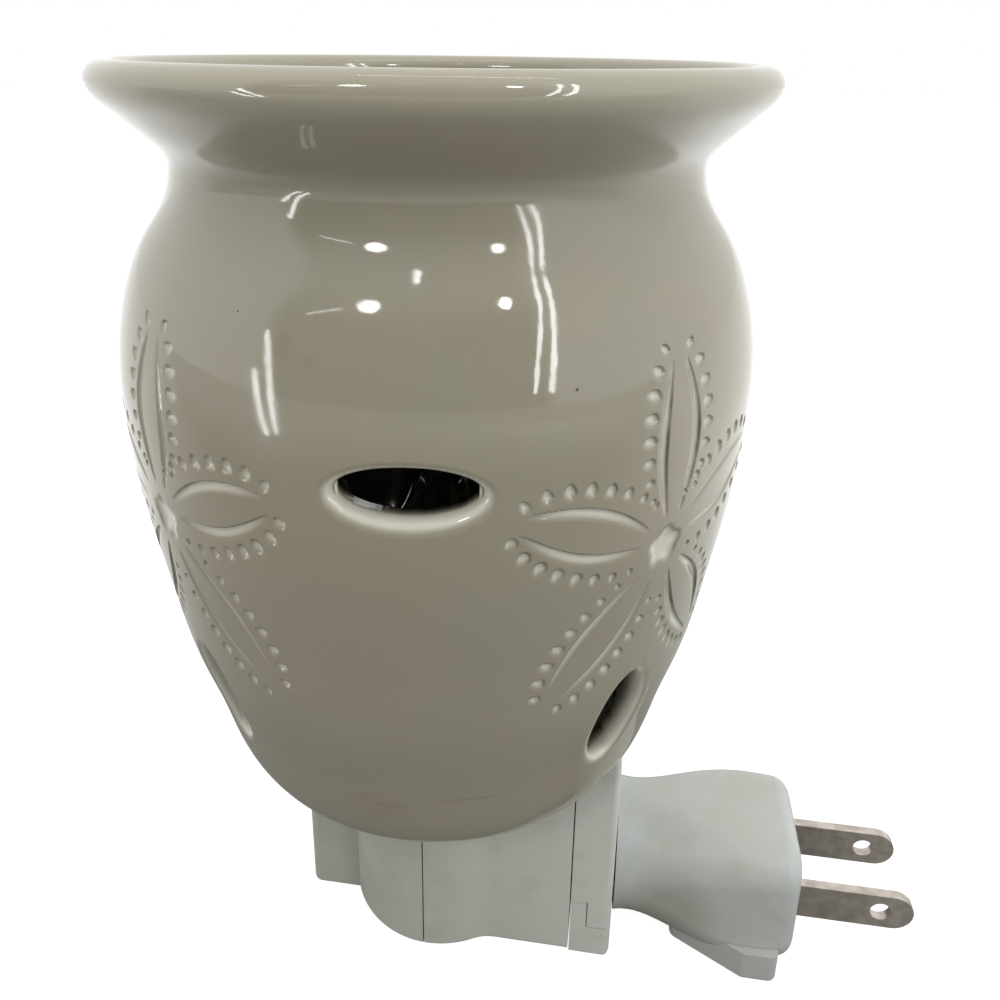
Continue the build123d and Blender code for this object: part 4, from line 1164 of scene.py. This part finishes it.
# %% [markdown]
# ## The surround and the floor
# The soft light is the surround itself: bright walls at both sides and behind, a bright
# ceiling, and a dark gap on the viewer's side. The gap's two edges show in the glaze as
# the soft borders left and right of the middle, so they stand where those borders say.
# In the photograph the background and the floor are blown out to white. So both are
# white where the camera sees them. The floor that lights the vase is grey close by and
# pale further off, and it is brightest behind the vase, where the glaze mirrors it most.

# %% Surround and floor
GAP_SHADE, TOP_LIGHT = (0.08, 0.08, 0.075, 1), (1.3, 1.3, 1.3, 1)
SIDE_LIGHT, RIGHT_LIGHT, BACK_LIGHT = (1.42, 1.42, 1.40, 1), (1.40, 1.47, 1.52, 1), (1.1, 1.1, 1.09, 1)
GAP_RIGHT_PIXEL, GAP_LEFT_PIXEL = (548, 370), (268, 330)
right_edge, left_edge = bounced(*GAP_RIGHT_PIXEL)[1], bounced(*GAP_LEFT_PIXEL)[1]

scene = bpy.context.scene
scene.view_settings.view_transform = "Standard"
surround = bpy.data.worlds.new("surround")
scene.world = surround
surround.use_nodes = True
tree = surround.node_tree
toward = put(tree, "ShaderNodeTexCoord").outputs["Generated"]
parts = put(tree, "ShaderNodeSeparateXYZ", {0: toward}).outputs
past = []
for across in (Vector((-right_edge.y, right_edge.x, 0)), Vector((left_edge.y, -left_edge.x, 0))):
    inputs = {0: toward, 1: across.normalized()}
    turned_past = put(tree, "ShaderNodeVectorMath", inputs, operation="DOT_PRODUCT")
    past.append(turned_past.outputs["Value"])
outside = combined(tree, "MAXIMUM", *past)
sides = mixed(tree, spread(tree, parts["X"], -0.3, 0.4), SIDE_LIGHT, RIGHT_LIGHT)
walls = mixed(tree, spread(tree, parts["Y"], -0.1, 0.9), sides, BACK_LIGHT)
around = mixed(tree, spread(tree, outside, -0.05, 0.07), GAP_SHADE, walls)
around = mixed(tree, spread(tree, parts["Z"], 0.45, 1.0), around, TOP_LIGHT)
seen = put(tree, "ShaderNodeLightPath").outputs["Is Camera Ray"]
tree.links.new(mixed(tree, seen, around, (1, 1, 1, 1)), tree.nodes["Background"].inputs["Color"])

FLOOR_RADIUS, FLOOR_GLOW, FLOOR_MIRRORED = 3.0, 0.95, 0.35
FLOOR_GREY, FLOOR_GREY_LIGHTER = (0.17, 0.17, 0.165, 1), (0.20, 0.20, 0.195, 1)
FLOOR_PALE, FLOOR_WHITE = (0.6, 0.6, 0.59, 1), (0.85, 0.85, 0.84, 1)
floor_mesh = bmesh.new()
bmesh.ops.create_circle(floor_mesh, cap_ends=True, segments=96, radius=FLOOR_RADIUS)
floor = bpy.data.objects.new("floor", bpy.data.meshes.new("floor"))
floor_mesh.to_mesh(floor.data)
floor_mesh.free()
scene.collection.objects.link(floor)
floor.location.z = cad_low.z - 0.0001
floor_finish, tree, shader = start_finish("pale_floor")
where = put(tree, "ShaderNodeTexCoord").outputs["Object"]
away = put(tree, "ShaderNodeVectorMath", {0: where}, operation="LENGTH").outputs["Value"]
drift = use_group(tree, cloud_group, Scale=5.0, Low=0.3, High=0.7)["Mask"]
near = mixed(tree, drift, FLOOR_GREY, FLOOR_GREY_LIGHTER)
behind = spread(tree, put(tree, "ShaderNodeSeparateXYZ", {0: where}).outputs["Y"], -0.12, 0.06)
far = mixed(tree, spread(tree, away, 0.25, 0.7), near, FLOOR_PALE)
lit = combined(tree, "MULTIPLY", spread(tree, away, 0.06, 0.2), behind)
tree.links.new(mixed(tree, lit, far, FLOOR_WHITE), shader["Base Color"])
paths = put(tree, "ShaderNodeLightPath").outputs
mirrored = combined(tree, "MULTIPLY", spread(tree, lit, 0, 1, 0, FLOOR_MIRRORED), paths["Is Glossy Ray"])
seen = spread(tree, paths["Is Camera Ray"], 0, 1, 0, FLOOR_GLOW)
tree.links.new(combined(tree, "ADD", seen, mirrored), shader["Emission Strength"])
shader["Emission Color"].default_value = (1, 1, 1, 1)
shader["Roughness"].default_value = 0.7
floor.data.materials.append(floor_finish)
floor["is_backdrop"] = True
print("surround and floor:", surround.name, floor.name)

# %% [markdown]
# ## Sizes, and the end
# The box round the imported pieces and the box round the dressed ones are printed, so the two can be set
# side by side.

# %% Keep the sizes and finish
full_low, full_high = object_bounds()
sizes = {"cad": [list(cad_low), list(cad_high)], "visual": [list(full_low), list(full_high)]}
for name, box in sizes.items():
    print(name, "box:", [[round(c / MM, 2) for c in corner] for corner in box])
